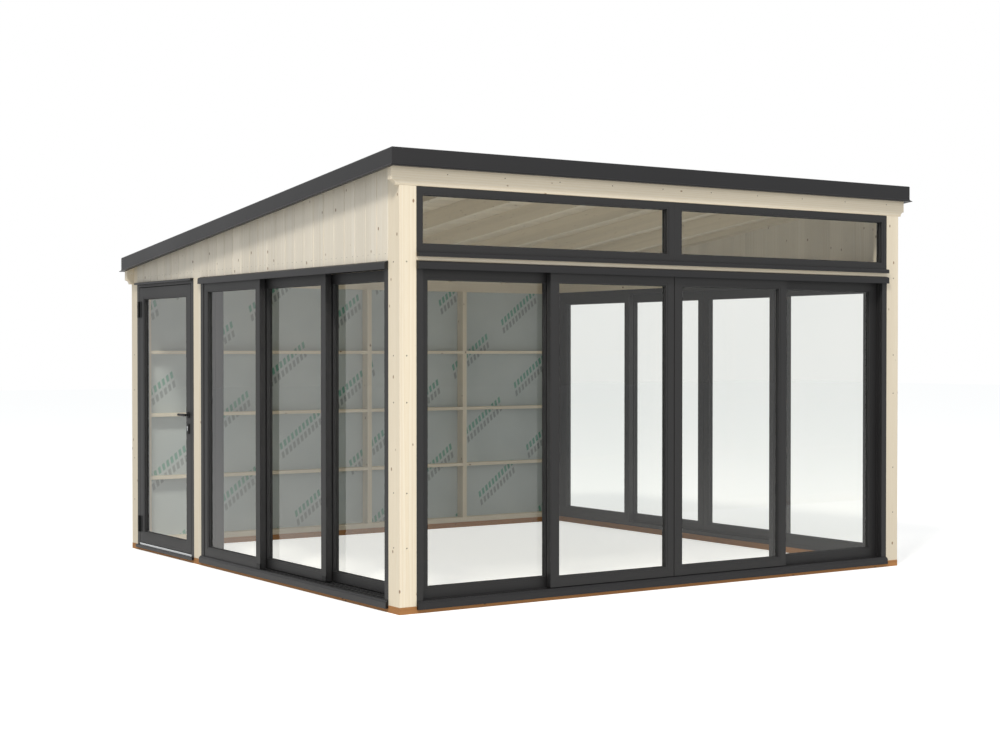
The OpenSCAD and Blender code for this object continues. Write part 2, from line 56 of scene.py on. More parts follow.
# ---- Camera and studio ---------------------------------------------------------------------------
# The summerhouse is seen from the front left at eye height, in a plain pale studio with one large
# soft lamp high on the front left, a weaker one on the right, and an even pale sky.

MM = 0.001
scene = bpy.context.scene


def linear(code):
    """The linear RGBA of an sRGB colour written as #rrggbb."""
    c = np.array([int(code[i:i + 2], 16) for i in (1, 3, 5)]) / 255
    low = c / 12.92
    high = ((c + 0.055) / 1.055) ** 2.4
    return (*np.where(c <= 0.04045, low, high), 1.0)


def add_node(tree, kind, links=(), **values):
    """Adds one shader node. A value whose name is a socket sets that socket, an underscore standing
    for a space, and any other value is a setting. links pairs a socket with the one that feeds it."""
    n = tree.nodes.new(kind)
    for key, value in values.items():
        if hasattr(n, key):
            setattr(n, key, value)
        else:
            n.inputs[key.replace("_", " ")].default_value = value
    for socket, source in links:
        tree.links.new(source, n.inputs[socket])
    return n


def new_material(name):
    """An empty node material, with its tree and its output."""
    mat = bpy.data.materials.new(name)
    mat.use_nodes = True
    mat.node_tree.nodes.clear()
    return mat, mat.node_tree, mat.node_tree.nodes.new("ShaderNodeOutputMaterial")


EYE = (-7.502, -11.184, 1.6225)
YAW, TILT = 33.90, -0.774
lens_data = bpy.data.cameras.new("camera")
lens_data.lens = 61.15
lens_data.sensor_width = 36.0
camera = bpy.data.objects.new("camera", lens_data)
camera.location = EYE
camera.rotation_euler = (np.radians(90 + TILT), 0.0, -np.radians(YAW))
scene.collection.objects.link(camera)
scene.camera = camera
scene.view_settings.view_transform = "Standard"

FLOOR_HALF = 60.0


def seen_rays(tree):
    """1 for a ray that shows the background itself: from the camera, a reflection or through glass."""
    rays = add_node(tree, "ShaderNodeLightPath")
    seen = add_node(tree, "ShaderNodeMath", [(0, rays.outputs["Is Camera Ray"]),
                    (1, rays.outputs["Is Transmission Ray"])], operation="MAXIMUM")
    return add_node(tree, "ShaderNodeMath", [(0, seen.outputs[0]), (1, rays.outputs["Is Glossy Ray"])],
                    operation="MAXIMUM").outputs[0]


# The floor reads as white paper: part of its brightness is its own, and the rest takes the shadow.
floor_mat, tree, out = new_material("studio floor")
paper = add_node(tree, "ShaderNodeBsdfDiffuse", Color=linear("#e6e6e4"))
glow = add_node(tree, "ShaderNodeEmission", Color=(1, 1, 1, 1))
glow_share = add_node(tree, "ShaderNodeMath", [(0, seen_rays(tree))], operation="MULTIPLY")
glow_share.inputs[1].default_value = 0.58
tree.links.new(glow_share.outputs[0], glow.inputs["Strength"])
floor_shader = add_node(tree, "ShaderNodeAddShader", [(0, paper.outputs[0]), (1, glow.outputs[0])])
tree.links.new(floor_shader.outputs[0], out.inputs[0])
floor_mesh = bpy.data.meshes.new("studio_floor")
corners = [(-FLOOR_HALF, -FLOOR_HALF, 0), (FLOOR_HALF, -FLOOR_HALF, 0),
           (FLOOR_HALF, FLOOR_HALF, 0), (-FLOOR_HALF, FLOOR_HALF, 0)]
floor_mesh.from_pydata(corners, [], [(0, 1, 2, 3)])
floor_mesh.materials.append(floor_mat)
floor = bpy.data.objects.new("studio_floor", floor_mesh)
scene.collection.objects.link(floor)

world = bpy.data.worlds.new("studio sky")
world.use_nodes = True
scene.world = world
tree = world.node_tree
tree.nodes.clear()
sky = add_node(tree, "ShaderNodeBackground", Color=linear("#eef1f4"), Strength=0.58)
white = add_node(tree, "ShaderNodeBackground", Color=(1, 1, 1, 1), Strength=1.0)
mix = add_node(tree, "ShaderNodeMixShader", [(0, seen_rays(tree)), (1, sky.outputs[0]),
                                             (2, white.outputs[0])])
add_node(tree, "ShaderNodeOutputWorld", [("Surface", mix.outputs[0])])


def lamp(name, place, aim, size, power, colour):
    """A square area lamp at place that faces aim."""
    data = bpy.data.lights.new(name, "AREA")
    data.shape = "SQUARE"
    data.size = size
    data.energy = power
    data.color = linear(colour)[:3]
    ob = bpy.data.objects.new(name, data)
    ob.location = place
    way = np.array(place) - np.array(aim)
    flat = np.hypot(way[0], way[1])
    ob.rotation_euler = (np.arctan2(flat, way[2]), 0.0, np.arctan2(way[0], -way[1]))
    scene.collection.objects.link(ob)


lamp("key", (-8.0, -8.3, 13.5), (0, 0, 1.2), 2.4, 1650, "#fff9f0")
lamp("fill", (0.0, -16.0, 5.0), (0, 0, 1.2), 7.0, 330, "#fffaf2")

# ---- Timber frame ----------------------------------------------------------------------------------
# Planed, untreated spruce: four corner posts, a post between the left doors, beams with coved ends
# that lie over the posts, rails over the doors, and rafters. Each member is one stick with eased
# arrises, and its figure runs along its own length.

rng = np.random.default_rng(7)


def box(node):
    """A node's lowest and highest corner, as arrays."""
    low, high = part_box(node)
    return np.array(low), np.array(high)


def solids(node):
    """The boxes of a node's separate solids, as (low, high) pairs, by joining faces that share
    corners and giving every corner the lowest number in its group until nothing changes."""
    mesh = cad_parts[node].data
    points = np.empty(len(mesh.vertices) * 3)
    mesh.vertices.foreach_get("co", points)
    points = points.reshape(-1, 3)
    _, same = np.unique(np.round(points, 5), axis=0, return_inverse=True)
    same = same.ravel()
    tris = np.empty(len(mesh.loops), dtype=np.int64)
    mesh.loops.foreach_get("vertex_index", tris)
    tris = same[tris].reshape(-1, 3)
    group = np.arange(same.max() + 1)
    while True:
        lowest = group[tris].min(axis=1)
        new = group.copy()
        for corner in range(3):
            np.minimum.at(new, tris[:, corner], lowest)
        if np.array_equal(new, group):
            break
        group = new
    label = group[same]
    return [(points[label == g].min(axis=0), points[label == g].max(axis=0)) for g in np.unique(label)]


def make(name, points, faces, mats, body="building", slot=None, hides=(), grain=None, smooth=False,
         mat_index=None, uv=None):
    """Puts points (n, 3) and faces into a mesh object at the origin that rides on body. grain is an
    optional (n, 3) array, the place of each point in its own stick of wood."""
    mesh = bpy.data.meshes.new(name)
    mesh.from_pydata(np.asarray(points).tolist(), [], [list(map(int, f)) for f in faces])
    for m in mats:
        mesh.materials.append(m)
    if mat_index is not None:
        mesh.polygons.foreach_set("material_index", np.asarray(mat_index, dtype=np.int32))
    if smooth:
        mesh.polygons.foreach_set("use_smooth", np.ones(len(mesh.polygons), dtype=bool))
    if grain is not None:
        layer = mesh.attributes.new("grain", "FLOAT_VECTOR", "POINT")
        layer.data.foreach_set("vector", np.asarray(grain, dtype=np.float32).ravel())
    if uv is not None:
        layer = mesh.uv_layers.new(name="UVMap")
        loops = np.empty(len(mesh.loops), dtype=np.int64)
        mesh.loops.foreach_get("vertex_index", loops)
        layer.data.foreach_set("uv", np.asarray(uv, dtype=np.float32)[loops].ravel())
    mesh.update()
    ob = bpy.data.objects.new(name, mesh)
    scene.collection.objects.link(ob)
    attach(ob, body)
    if hides:
        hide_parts(*hides)
    return ob


class Pile:
    """Shapes gathered for one mesh: points, faces, grain and a material number for each face."""

    def __init__(self):
        self.points, self.faces, self.grain, self.index = [], [], [], []
        self.count = 0

    def add(self, points, faces, grain=None, index=0):
        points = np.asarray(points, dtype=float)
        self.points.append(points)
        self.faces += [tuple(int(i) + self.count for i in f) for f in faces]
        self.grain.append(np.zeros_like(points) if grain is None else grain)
        self.index += [index] * len(faces)
        self.count += len(points)

    def make(self, name, mats, **more):
        return make(name, np.vstack(self.points), self.faces, mats,
                    grain=np.vstack(self.grain), mat_index=self.index, **more)


def prism(outline, start, end):
    """Points and faces of a closed outline (n, 2), counter-clockwise about the way from start to
    end, carried straight from one to the other. start and end are functions from the outline to
    (n, 3) points, so that either end can be cut at a slope."""
    a, b = start(outline), end(outline)
    n = len(outline)
    i = np.arange(n)
    j = (i + 1) % n
    walls = np.stack([i, j, j + n, i + n], axis=1).tolist()
    return np.vstack([a, b]), [*walls, list(range(n))[::-1], list(range(n, 2 * n))]


def eased(w, h, r, steps=2):
    """A w by h rectangle from (0, 0), counter-clockwise, with quarter-round corners of radius r."""
    turn = np.linspace(0, np.pi / 2, steps + 1)
    arc = np.stack([np.cos(turn), np.sin(turn)], axis=1) * r
    spin = np.array([[0, 1], [-1, 0]])
    centres = [(w - r, h - r), (r, h - r), (r, r), (w - r, r)]
    parts = []
    for c in centres:
        parts.append(arc + c)
        arc = arc @ spin
    return np.vstack(parts)


AXES = {"x": (0, 1, 2), "y": (1, 2, 0), "z": (2, 0, 1)}
ARRIS = 2.5 * MM


def stick(pile, low, high, along, top=None, bottom=None, arris=ARRIS, index=0):
    """One stick of timber in the box low..high, its length along x, y or z. top and bottom give
    the height of its upper and lower face at (x, y) where it is cut to the roof's slope."""
    low, high = np.array(low, dtype=float), np.array(high, dtype=float)
    a, b, c = AXES[along]
    size = high - low
    outline = eased(size[b], size[c], min(arris, size[b] / 4, size[c] / 4))

    def at(where):
        def place(o):
            p = np.empty((len(o), 3))
            p[:, a] = where
            p[:, b] = low[b] + o[:, 0]
            p[:, c] = low[c] + o[:, 1]
            return p
        return place

    points, faces = prism(outline, at(low[a]), at(high[a]))
    share = (points[:, 2] - low[2]) / size[2]
    grain = points.copy()
    if top is not None or bottom is not None:
        t = high[2] if top is None else top(points[:, 0], points[:, 1])
        u = low[2] if bottom is None else bottom(points[:, 0], points[:, 1])
        points[:, 2] = u + share * (t - u)
    grain = grain - (low + high) / 2
    grain = grain[:, [a, b, c]] + rng.uniform(-40, 40, 3) * [1, 0, 0] + rng.uniform(-0.09, 0.09, 3)
    pile.add(points, faces, grain, index)


def wood(name, pale, dark, knot, gloss, ring_mm, contrast=1.0, knots=True):
    """Softwood, planed or sawn. Growth rings are bands round a centre off the stick's side, drawn
    out along the grain; fine streaks follow the fibre; knots are dark ovals a hand or two apart.
    Planed spruce is pale and dull, with a faint sheen on the harder late wood."""
    mat, tree, out = new_material(name)
    place = add_node(tree, "ShaderNodeAttribute", attribute_name="grain")
    stretch = add_node(tree, "ShaderNodeMapping", [("Vector", place.outputs["Vector"])],
                       Scale=(0.35, 6.0, 6.0))
    wander = add_node(tree, "ShaderNodeTexNoise", [("Vector", stretch.outputs[0])], Scale=1.6,
                      Detail=3.0)
    bent = add_node(tree, "ShaderNodeVectorMath", [(0, wander.outputs["Color"])], operation="MULTIPLY")
    bent.inputs[1].default_value = (0.0, 0.028, 0.028)
    moved = add_node(tree, "ShaderNodeVectorMath", [(0, place.outputs["Vector"]),
                                                    (1, bent.outputs[0])], operation="ADD")
    squeezed = add_node(tree, "ShaderNodeMapping", [("Vector", moved.outputs[0])],
                        Scale=(0.006, 1.0, 1.0), Location=(0, 0.03, 0.05))
    rings = add_node(tree, "ShaderNodeTexWave", [("Vector", squeezed.outputs[0])], wave_type="RINGS",
                     rings_direction="X", wave_profile="SAW", Scale=np.pi / 10 * 1000 / ring_mm,
                     Distortion=0.6, Detail=2.0, Detail_Scale=2.0)
    fibre = add_node(tree, "ShaderNodeMapping", [("Vector", place.outputs["Vector"])],
                     Scale=(9.0, 420.0, 420.0))
    streak = add_node(tree, "ShaderNodeTexNoise", [("Vector", fibre.outputs[0])], Scale=1.0,
                      Detail=2.0)
    both = add_node(tree, "ShaderNodeMix", [("A", rings.outputs["Fac"]), ("B", streak.outputs["Fac"])],
                    Factor=0.6)
    tone = add_node(tree, "ShaderNodeValToRGB", [(0, both.outputs["Result"])])
    tone.color_ramp.elements[0].position = 0.5 - 0.42 / contrast
    tone.color_ramp.elements[0].color = linear(pale)
    tone.color_ramp.elements[1].position = 0.5 + 0.55 / contrast
    tone.color_ramp.elements[1].color = linear(dark)
    patch = add_node(tree, "ShaderNodeTexNoise", [("Vector", stretch.outputs[0])], Scale=0.5)
    patch_tone = add_node(tree, "ShaderNodeMapRange", [(0, patch.outputs["Fac"])], From_Min=0.3,
                          From_Max=0.7, To_Min=0.87, To_Max=1.06)
    shade = add_node(tree, "ShaderNodeVectorMath", [(0, tone.outputs[0]), (1, patch_tone.outputs[0])],
                     operation="MULTIPLY")
    colour = shade.outputs[0]
    if knots:
        spread = add_node(tree, "ShaderNodeMapping", [("Vector", moved.outputs[0])],
                          Scale=(7.0, 12.0, 12.0))
        cells = add_node(tree, "ShaderNodeTexVoronoi", [("Vector", spread.outputs[0])], Scale=1.0,
                         Randomness=1.0)
        spot = add_node(tree, "ShaderNodeMapRange", [(0, cells.outputs["Distance"])], From_Min=0.06,
                        From_Max=0.1, To_Min=0.85, To_Max=0.0)
        mixed = add_node(tree, "ShaderNodeMix", [("Factor", spot.outputs[0])], data_type="RGBA")
        tree.links.new(colour, mixed.inputs[6])
        mixed.inputs[7].default_value = linear(knot)
        colour = mixed.outputs[2]
    bump = add_node(tree, "ShaderNodeBump", [("Height", both.outputs["Result"])], Strength=0.25,
                    Distance=0.4 * MM)
    shine = add_node(tree, "ShaderNodeMapRange", [(0, both.outputs["Result"])], To_Min=gloss + 0.08,
                     To_Max=gloss - 0.08)
    shader = add_node(tree, "ShaderNodeBsdfPrincipled", [("Base Color", colour),
                      ("Roughness", shine.outputs[0]), ("Normal", bump.outputs[0])], IOR=1.5)
    tree.links.new(shader.outputs[0], out.inputs[0])
    return mat


spruce = wood("planed spruce", "#ece4d4", "#dccdb0", "#7a5a38", 0.62, 13.0)

deck_low, deck_high = box("roof_deck")
cover_low, cover_high = box("roof_cover")
front_low, front_high = box("front_beam")
rear_low, rear_high = box("rear_beam")
posts = solids("corner_posts")
wall_half = max(high[0] for _, high in posts)
front_y = min(low[1] for low, _ in posts)
rear_y = max(high[1] for _, high in posts)
# The roof boards' underside falls evenly from the front beam's outer top edge to the rear beam's.
slope = (front_high[2] - rear_high[2]) / (rear_low[1] - front_low[1])


def roof(y, over=0.0):
    """The height of the roof boards' underside at y, and `over` above it, measured upright."""
    return front_high[2] - (y - front_y) * slope + over


def under_roof(x, y):
    """The height at which a member under the roof boards is cut."""
    return roof(y)


def timber_node(node, along, mat=None, sloped=False, drop=None, slot="planed_spruce"):
    """Makes each box of a CAD node as a stick. sloped cuts the top to the roof, and drop the
    underside too, that far below it."""
    pile = Pile()
    for low, high in solids(node):
        under = None
        if drop is not None:
            thick = drop

            def under(x, y, thick=thick):
                return roof(y) - thick
        stick(pile, low, high, along, top=under_roof if sloped else None, bottom=under)
    return pile.make(node + "_timber", [mat or spruce], slot=slot, hides=(node,))


beam_t = front_high[1] - front_low[1]
pile = Pile()
for low, high in posts:
    front = low[1] < 0
    notch_y = (low[1] + beam_t) if front else (high[1] - beam_t)
    beam_under = front_low[2] if front else rear_low[2]
    notch_low, notch_high = (low[1], notch_y) if front else (notch_y, high[1])
    rest_low, rest_high = (notch_y, high[1]) if front else (low[1], notch_y)
    # One stick up to the beam, and the tongue of the notch behind the beam.
    stick(pile, low, (high[0], high[1], beam_under), "z")
    stick(pile, (low[0], rest_low, beam_under), (high[0], rest_high, high[2]), "z", top=under_roof)
pile.make("corner_post_timbers", [spruce], slot="planed_spruce", hides=("corner_posts",))
timber_node("left_mid_post", "z")
timber_node("side_head_beams", "y")
timber_node("front_transom", "x")
plate_low, plate_high = solids("gable_plates")[0]
plate_drop = roof(plate_low[1]) - (plate_low[2] + (plate_high[1] - plate_low[1]) * slope)
timber_node("gable_plates", "y", sloped=True, drop=plate_drop)
rafter_low, rafter_high = solids("rafters")[0]
rafter_drop = roof(rafter_low[1]) - (rafter_low[2] + (rafter_high[1] - rafter_low[1]) * slope)
timber_node("rafters", "y", sloped=True, drop=rafter_drop)

# ---- Front and rear beams --------------------------------------------------------------------------
# Two planed beams lie across the posts and stand proud of the side walls. Each end is cut with a
# quarter-round cove below, and the cut shows pale end grain.

COVE = 32 * MM


def beam_outline(half, under, top_height, steps=10):
    """The beam's front view, counter-clockwise from its lower right end: straight below, a cove at
    each end as a quarter circle about the lower corner, and a straight top."""
    turn = np.linspace(0, np.pi / 2, steps + 1)
    right = np.stack([half - COVE * np.cos(turn), under + COVE * np.sin(turn)], axis=1)
    left = right[::-1] * [-1, 1]
    top = [(half, top_height), (-half, top_height)]
    return np.vstack([right, top, left])


def beam(name, node, low, high):
    """A coved beam: its front outline repeated at the front face, at both arrises and at the rear
    face, with the top following the roof."""
    outline = beam_outline(high[0], low[2], high[2])
    n = len(outline)
    middle = np.array([0, (low[2] + high[2]) / 2])
    layers = [(low[1], ARRIS), (low[1] + ARRIS, 0.0), (high[1] - ARRIS, 0.0), (high[1], ARRIS)]
    points = []
    for y, inset in layers:
        ring = outline.copy()
        ring -= np.sign(ring - middle) * inset
        share = np.clip((ring[:, 1] - low[2] - COVE) / (high[2] - low[2] - COVE), 0, 1)
        z = ring[:, 1] + share * (roof(y) - high[2])
        points.append(np.stack([ring[:, 0], np.full(n, y), z], axis=1))
    i = np.arange(n)
    j = (i + 1) % n
    faces = []
    for k in range(len(layers) - 1):
        faces += np.stack([i + k * n, j + k * n, j + (k + 1) * n, i + (k + 1) * n], axis=1).tolist()
    faces.append(list(range(n)))
    faces.append([len(layers) * n - 1 - m for m in range(n)])
    faces = [f[::-1] for f in faces]
    points = np.vstack(points)
    grain = (points - (low + high) / 2) + rng.uniform(-0.09, 0.09, 3) + [rng.uniform(0, 30), 0, 0]
    make(name, points, faces, [spruce], slot="planed_spruce", hides=(node,), grain=grain)


beam("front_beam_timber", "front_beam", front_low, front_high)
beam("rear_beam_timber", "rear_beam", rear_low, rear_high)

# ---- Sole plates -----------------------------------------------------------------------------------
# The lowest timbers lie on the ground under all four walls. They are pine, sawn and pressure
# impregnated, which leaves them brown and dull.

brown_pine = wood("impregnated pine", "#c08a52", "#8f5f35", "#4f3420", 0.78, 13.0, contrast=0.9)
timber_node("soles_across", "x", mat=brown_pine, slot="impregnated_pine")
timber_node("soles_along", "y", mat=brown_pine, slot="impregnated_pine")

# ---- Rear wall framing -----------------------------------------------------------------------------
# Studs on a bottom plate, with three rows of noggins between them. They show from inside and through
# the glass. The bottom plate and the noggins share a node, and each is a stick across the building.

timber_node("rear_rails", "x")
timber_node("rear_studs", "z", sloped=False)

# ---- Cladding and roof boards ----------------------------------------------------------------------
# Tongue-and-groove spruce boards, planed outside, with a small V where two meet. They stand
# upright on the gables and the rear wall, and lie across the rafters as the roof.

V_DEEP = 9 * MM
V_WIDE = 5 * MM
COVER = 140 * MM
ROOF_COVER = 121 * MM


def board_profile(cover, thick):
    """Half of one board's section from its middle: the face, the V at its edge, and the back."""
    half = cover / 2
    return np.array([(-half, 0.0), (half, 0.0), (half, thick - V_DEEP), (half - V_WIDE, thick),
                     (-half + V_WIDE, thick), (-half, thick - V_DEEP)])


def boards(pile, across, start, end, face, back, length_at):
    """Boards side by side along the unit vector `across` from start to end. face and back are the
    coordinates of their outer and inner faces along the thickness, and length_at(s) gives the two
    ends of each edge line s, as (n, 3) points for arrays of s and thickness."""
    span = end - start
    count = max(int(round(span / across)), 1)
    cover = span / count
    outline = board_profile(cover, face)
    for i in range(count):
        s = start + (i + 0.5) * cover + outline[:, 0]
        a, b = length_at(s, outline[:, 1])
        n = len(outline)
        k = np.arange(n)
        m = (k + 1) % n
        walls = np.stack([k, m, m + n, k + n], axis=1)
        faces = [*walls.tolist(), list(range(n))[::-1], list(range(n, 2 * n))]
        points = np.vstack([a, b])
        way = b[0] - a[0]
        run = np.linalg.norm(way)
        along = np.concatenate([np.zeros(n), np.full(n, run)])
        side = np.tile(outline[:, 0], 2)
        deep = np.tile(outline[:, 1], 2)
        grain = np.stack([along + rng.uniform(-30, 30), side + rng.uniform(-0.05, 0.05),
                          deep + rng.uniform(-0.06, 0.06)], axis=1)
        if back > 0:
            faces = [f[::-1] for f in faces]
        pile.add(points, faces, grain)


cladding_wood = wood("planed cladding boards", "#e9e4d9", "#d6ccb8", "#77583a", 0.66, 12.0)


def gable_boards(side):
    """The boards of one gable, side -1 left or 1 right, cut to the roof's slope at the top."""
    low, high = [s for s in solids("gable_cladding") if np.sign(s[0][0] + s[1][0]) == side][0]
    thick = high[0] - low[0]
    inner = high[0] if side < 0 else low[0]

    def ends(s, deep):
        x = inner + side * deep
        return (np.stack([x, s, np.full_like(s, low[2])], axis=1),
                np.stack([x, s, roof(s)], axis=1))

    boards(pile, COVER, low[1], high[1], thick, side, ends)


pile = Pile()
gable_boards(-1)
gable_boards(1)
pile.make("gable_boards", [cladding_wood], slot="spruce_cladding", hides=("gable_cladding",))

clad_low, clad_high = box("rear_cladding")


def rear_ends(s, deep):
    y = clad_low[1] + deep
    return (np.stack([s, y, np.full_like(s, clad_low[2])], axis=1),
            np.stack([s, y, np.full_like(s, clad_high[2])], axis=1))


pile = Pile()
boards(pile, COVER, clad_low[0], clad_high[0], clad_high[1] - clad_low[1], -1, rear_ends)
pile.make("rear_wall_boards", [cladding_wood], slot="spruce_cladding", hides=("rear_cladding",))

deck_v = deck_high[2] - roof(deck_low[1])


def deck_ends(s, deep):
    z = roof(s) + deck_v - deep
    return (np.stack([np.full_like(s, deck_low[0]), s, z], axis=1),
            np.stack([np.full_like(s, deck_high[0]), s, z], axis=1))


pile = Pile()
boards(pile, ROOF_COVER, deck_low[1], deck_high[1], deck_v, 1, deck_ends)
pile.make("roof_boards", [spruce], slot="spruce_cladding", hides=("roof_deck",))

# ---- Nails -----------------------------------------------------------------------------------------
# Round-headed nails hold the gable boards to the beams below and above, and the posts to the ends
# of the rails behind them. Each is a low dome a few millimetres wide, in dull galvanised wire.

nail_mat, tree, out = new_material("galvanised nail")
speckle = add_node(tree, "ShaderNodeTexNoise", Scale=900.0, Detail=1.0)
nail_tone = add_node(tree, "ShaderNodeValToRGB", [(0, speckle.outputs["Fac"])])
nail_tone.color_ramp.elements[0].color = linear("#3f3b35")
nail_tone.color_ramp.elements[1].color = linear("#625d54")
nail_shader = add_node(tree, "ShaderNodeBsdfPrincipled", [("Base Color", nail_tone.outputs[0])],
                       Metallic=0.6, Roughness=0.6)
tree.links.new(nail_shader.outputs[0], out.inputs[0])

NAIL_R = 4.5 * MM
CLADDING_NAIL_R = 2.2 * MM
NAIL_SIDES = 8


def nails(pile, places, out_way, radius=NAIL_R):
    """A low dome at each place: a ring in the wood, one just above it, and a smaller flat top."""
    out_way = np.array(out_way, dtype=float)
    side = np.cross(out_way, [0, 0, 1.0])
    up = np.cross(side, out_way)
    turn = np.linspace(0, 2 * np.pi, NAIL_SIDES, endpoint=False)
    circle = np.outer(np.cos(turn), side) + np.outer(np.sin(turn), up)
    for p in places:
        p = np.array(p)
        rings = [p - out_way * 1 * MM + circle * radius, p + out_way * 0.5 * MM + circle * radius,
                 p + out_way * 1.1 * MM + circle * radius * 0.6]
        points = np.vstack(rings)
        n = NAIL_SIDES
        i = np.arange(n)
        j = (i + 1) % n
        faces = []
        for k in range(2):
            faces += np.stack([i + k * n, i + (k + 1) * n, j + (k + 1) * n, j + k * n],
                              axis=1).tolist()
        faces.append(list(range(2 * n, 3 * n))[::-1])
        faces.append(list(range(n)))
        pile.add(points, faces)


head_z = box("side_head_beams")[0][2]
gable_low, gable_high = solids("gable_cladding")[0]
board_count = int(round((gable_high[1] - gable_low[1]) / COVER))
board_w = (gable_high[1] - gable_low[1]) / board_count
pile = Pile()
for side in (-1, 1):
    x = side * wall_half
    places = []
    for i in range(board_count):
        middle = gable_low[1] + (i + 0.5) * board_w
        for shift in (-0.27, 0.27):
            y = middle + shift * board_w
            places += [(x, y, head_z + 45 * MM), (x, y, roof(y) - 22 * MM)]
    nails(pile, places, (side, 0, 0), CLADDING_NAIL_R)
POST_NAIL_Z = (0.41, 0.75, 1.31, 1.60, 2.18)
for low, high in posts:
    side = np.sign(low[0] + high[0])
    places = [(side * wall_half, (low[1] + high[1]) / 2 + 4 * MM, z) for z in POST_NAIL_Z]
    nails(pile, places, (side, 0, 0))
    if low[1] < 0:
        places = [((low[0] + high[0]) / 2 + side * 10 * MM, front_y, z) for z in POST_NAIL_Z]
        nails(pile, places, (0, -1, 0))
rear_count = int(round((clad_high[0] - clad_low[0]) / COVER))
rear_w = (clad_high[0] - clad_low[0]) / rear_count
rail_rows = sorted({round((low[2] + high[2]) / 2, 4) for low, high in solids("rear_rails")})
places = [(clad_low[0] + (i + 0.5 + shift) * rear_w, clad_high[1], z) for i in range(rear_count)
          for shift in (-0.27, 0.27) for z in rail_rows]
nails(pile, places, (0, 1, 0), CLADDING_NAIL_R)
BEAM_NAIL_X = np.linspace(-1.95, 1.95, 10)
places = [(x + shift, front_low[1], front_high[2] - drop) for x in BEAM_NAIL_X
          for shift, drop in ((0.0, 52 * MM), (0.11, 118 * MM))]
nails(pile, places, (0, -1, 0), 3.6 * MM)
pile.make("nails", [nail_mat])

# ---- Wind membrane ---------------------------------------------------------------------------------
# A thin spun sheet is stretched over the outer side of the rear studs, under the boards, and shows
# from inside between the studs. It billows a few millimetres inwards in each bay. Its print is a
# plain pattern of slanted dashes.

membrane_mat, tree, out = new_material("spun wind membrane")
cloth_uv = add_node(tree, "ShaderNodeUVMap", uv_map="UVMap")
split = add_node(tree, "ShaderNodeSeparateXYZ", [(0, cloth_uv.outputs[0])])


def sum_of(tree, operation, a, b=None, c=None):
    """A Math node on sockets or numbers."""
    n = add_node(tree, "ShaderNodeMath", operation=operation)
    for i, value in enumerate((a, b, c)):
        if value is None:
            continue
        if isinstance(value, (int, float)):
            n.inputs[i].default_value = value
        else:
            tree.links.new(value, n.inputs[i])
    return n.outputs[0]


def dashes(tree, u, v, turn_deg, pitch_u, pitch_v, thick, share, offset):
    """1 inside slanted dashes: rows turned by turn_deg, pitch_v apart and `thick` of that high,
    cut into dashes pitch_u long of which `share` is printed."""
    c, s = float(np.cos(np.radians(turn_deg))), float(np.sin(np.radians(turn_deg)))
    across = sum_of(tree, "SUBTRACT", sum_of(tree, "MULTIPLY", v, c), sum_of(tree, "MULTIPLY", u, s))
    straight = sum_of(tree, "ADD", sum_of(tree, "MULTIPLY", u, c), sum_of(tree, "MULTIPLY", v, s))
    along = sum_of(tree, "MULTIPLY_ADD", across, -0.45, straight)
    row = sum_of(tree, "FRACT", sum_of(tree, "ADD", sum_of(tree, "DIVIDE", across, pitch_v), offset))
    line = sum_of(tree, "LESS_THAN", row, thick)
    mark = sum_of(tree, "LESS_THAN", sum_of(tree, "FRACT", sum_of(tree, "DIVIDE", along, pitch_u)), share)
    gap = sum_of(tree, "LESS_THAN", sum_of(tree, "FRACT", sum_of(tree, "DIVIDE", along, pitch_u * 15)),
                 0.72)
    return sum_of(tree, "MULTIPLY", sum_of(tree, "MULTIPLY", line, mark), gap)


u, v = split.outputs[0], split.outputs[1]
green = dashes(tree, u, v, 38, 0.046, 0.56, 0.09, 0.6, 0.0)
grey = dashes(tree, u, v, 38, 0.046, 0.56, 0.09, 0.6, 0.13)
weave = add_node(tree, "ShaderNodeTexNoise", [("Vector", cloth_uv.outputs[0])], Scale=260.0, Detail=2.0)
cloud = add_node(tree, "ShaderNodeTexNoise", [("Vector", cloth_uv.outputs[0])], Scale=2.2)
base = add_node(tree, "ShaderNodeValToRGB", [(0, sum_of(tree, "MULTIPLY_ADD", weave.outputs["Fac"], 0.4,
                sum_of(tree, "MULTIPLY", cloud.outputs["Fac"], 0.6)))])
base.color_ramp.elements[0].position = 0.3
base.color_ramp.elements[0].color = linear("#acb6b7")
base.color_ramp.elements[1].position = 0.7
base.color_ramp.elements[1].color = linear("#c2caca")
ink = add_node(tree, "ShaderNodeMix", [("Factor", sum_of(tree, "MULTIPLY", green, 0.8))],
               data_type="RGBA")
tree.links.new(base.outputs[0], ink.inputs[6])
ink.inputs[7].default_value = linear("#3f9079")
ink2 = add_node(tree, "ShaderNodeMix", [("Factor", sum_of(tree, "MULTIPLY", grey, 0.7))],
                data_type="RGBA")
tree.links.new(ink.outputs[2], ink2.inputs[6])
ink2.inputs[7].default_value = linear("#6f7879")
cloth_bump = add_node(tree, "ShaderNodeBump", [("Height", weave.outputs["Fac"])], Strength=0.3,
                      Distance=0.3 * MM)
cloth = add_node(tree, "ShaderNodeBsdfPrincipled", [("Base Color", ink2.outputs[2]),
                 ("Normal", cloth_bump.outputs[0])], Roughness=0.7, Sheen_Weight=0.2)
tree.links.new(cloth.outputs[0], out.inputs[0])

cloth_low, cloth_high = box("rear_membrane")
stud_xs = sorted((low[0] + high[0]) / 2 for low, high in solids("rear_studs"))
bay_edges = np.array([cloth_low[0], *stud_xs, cloth_high[0]])
row_edges = np.array([cloth_low[2], *[z for z in rail_rows if z > 0.2], cloth_high[2]])
NX, NZ = 161, 81
CLOTH_T = 0.8 * MM


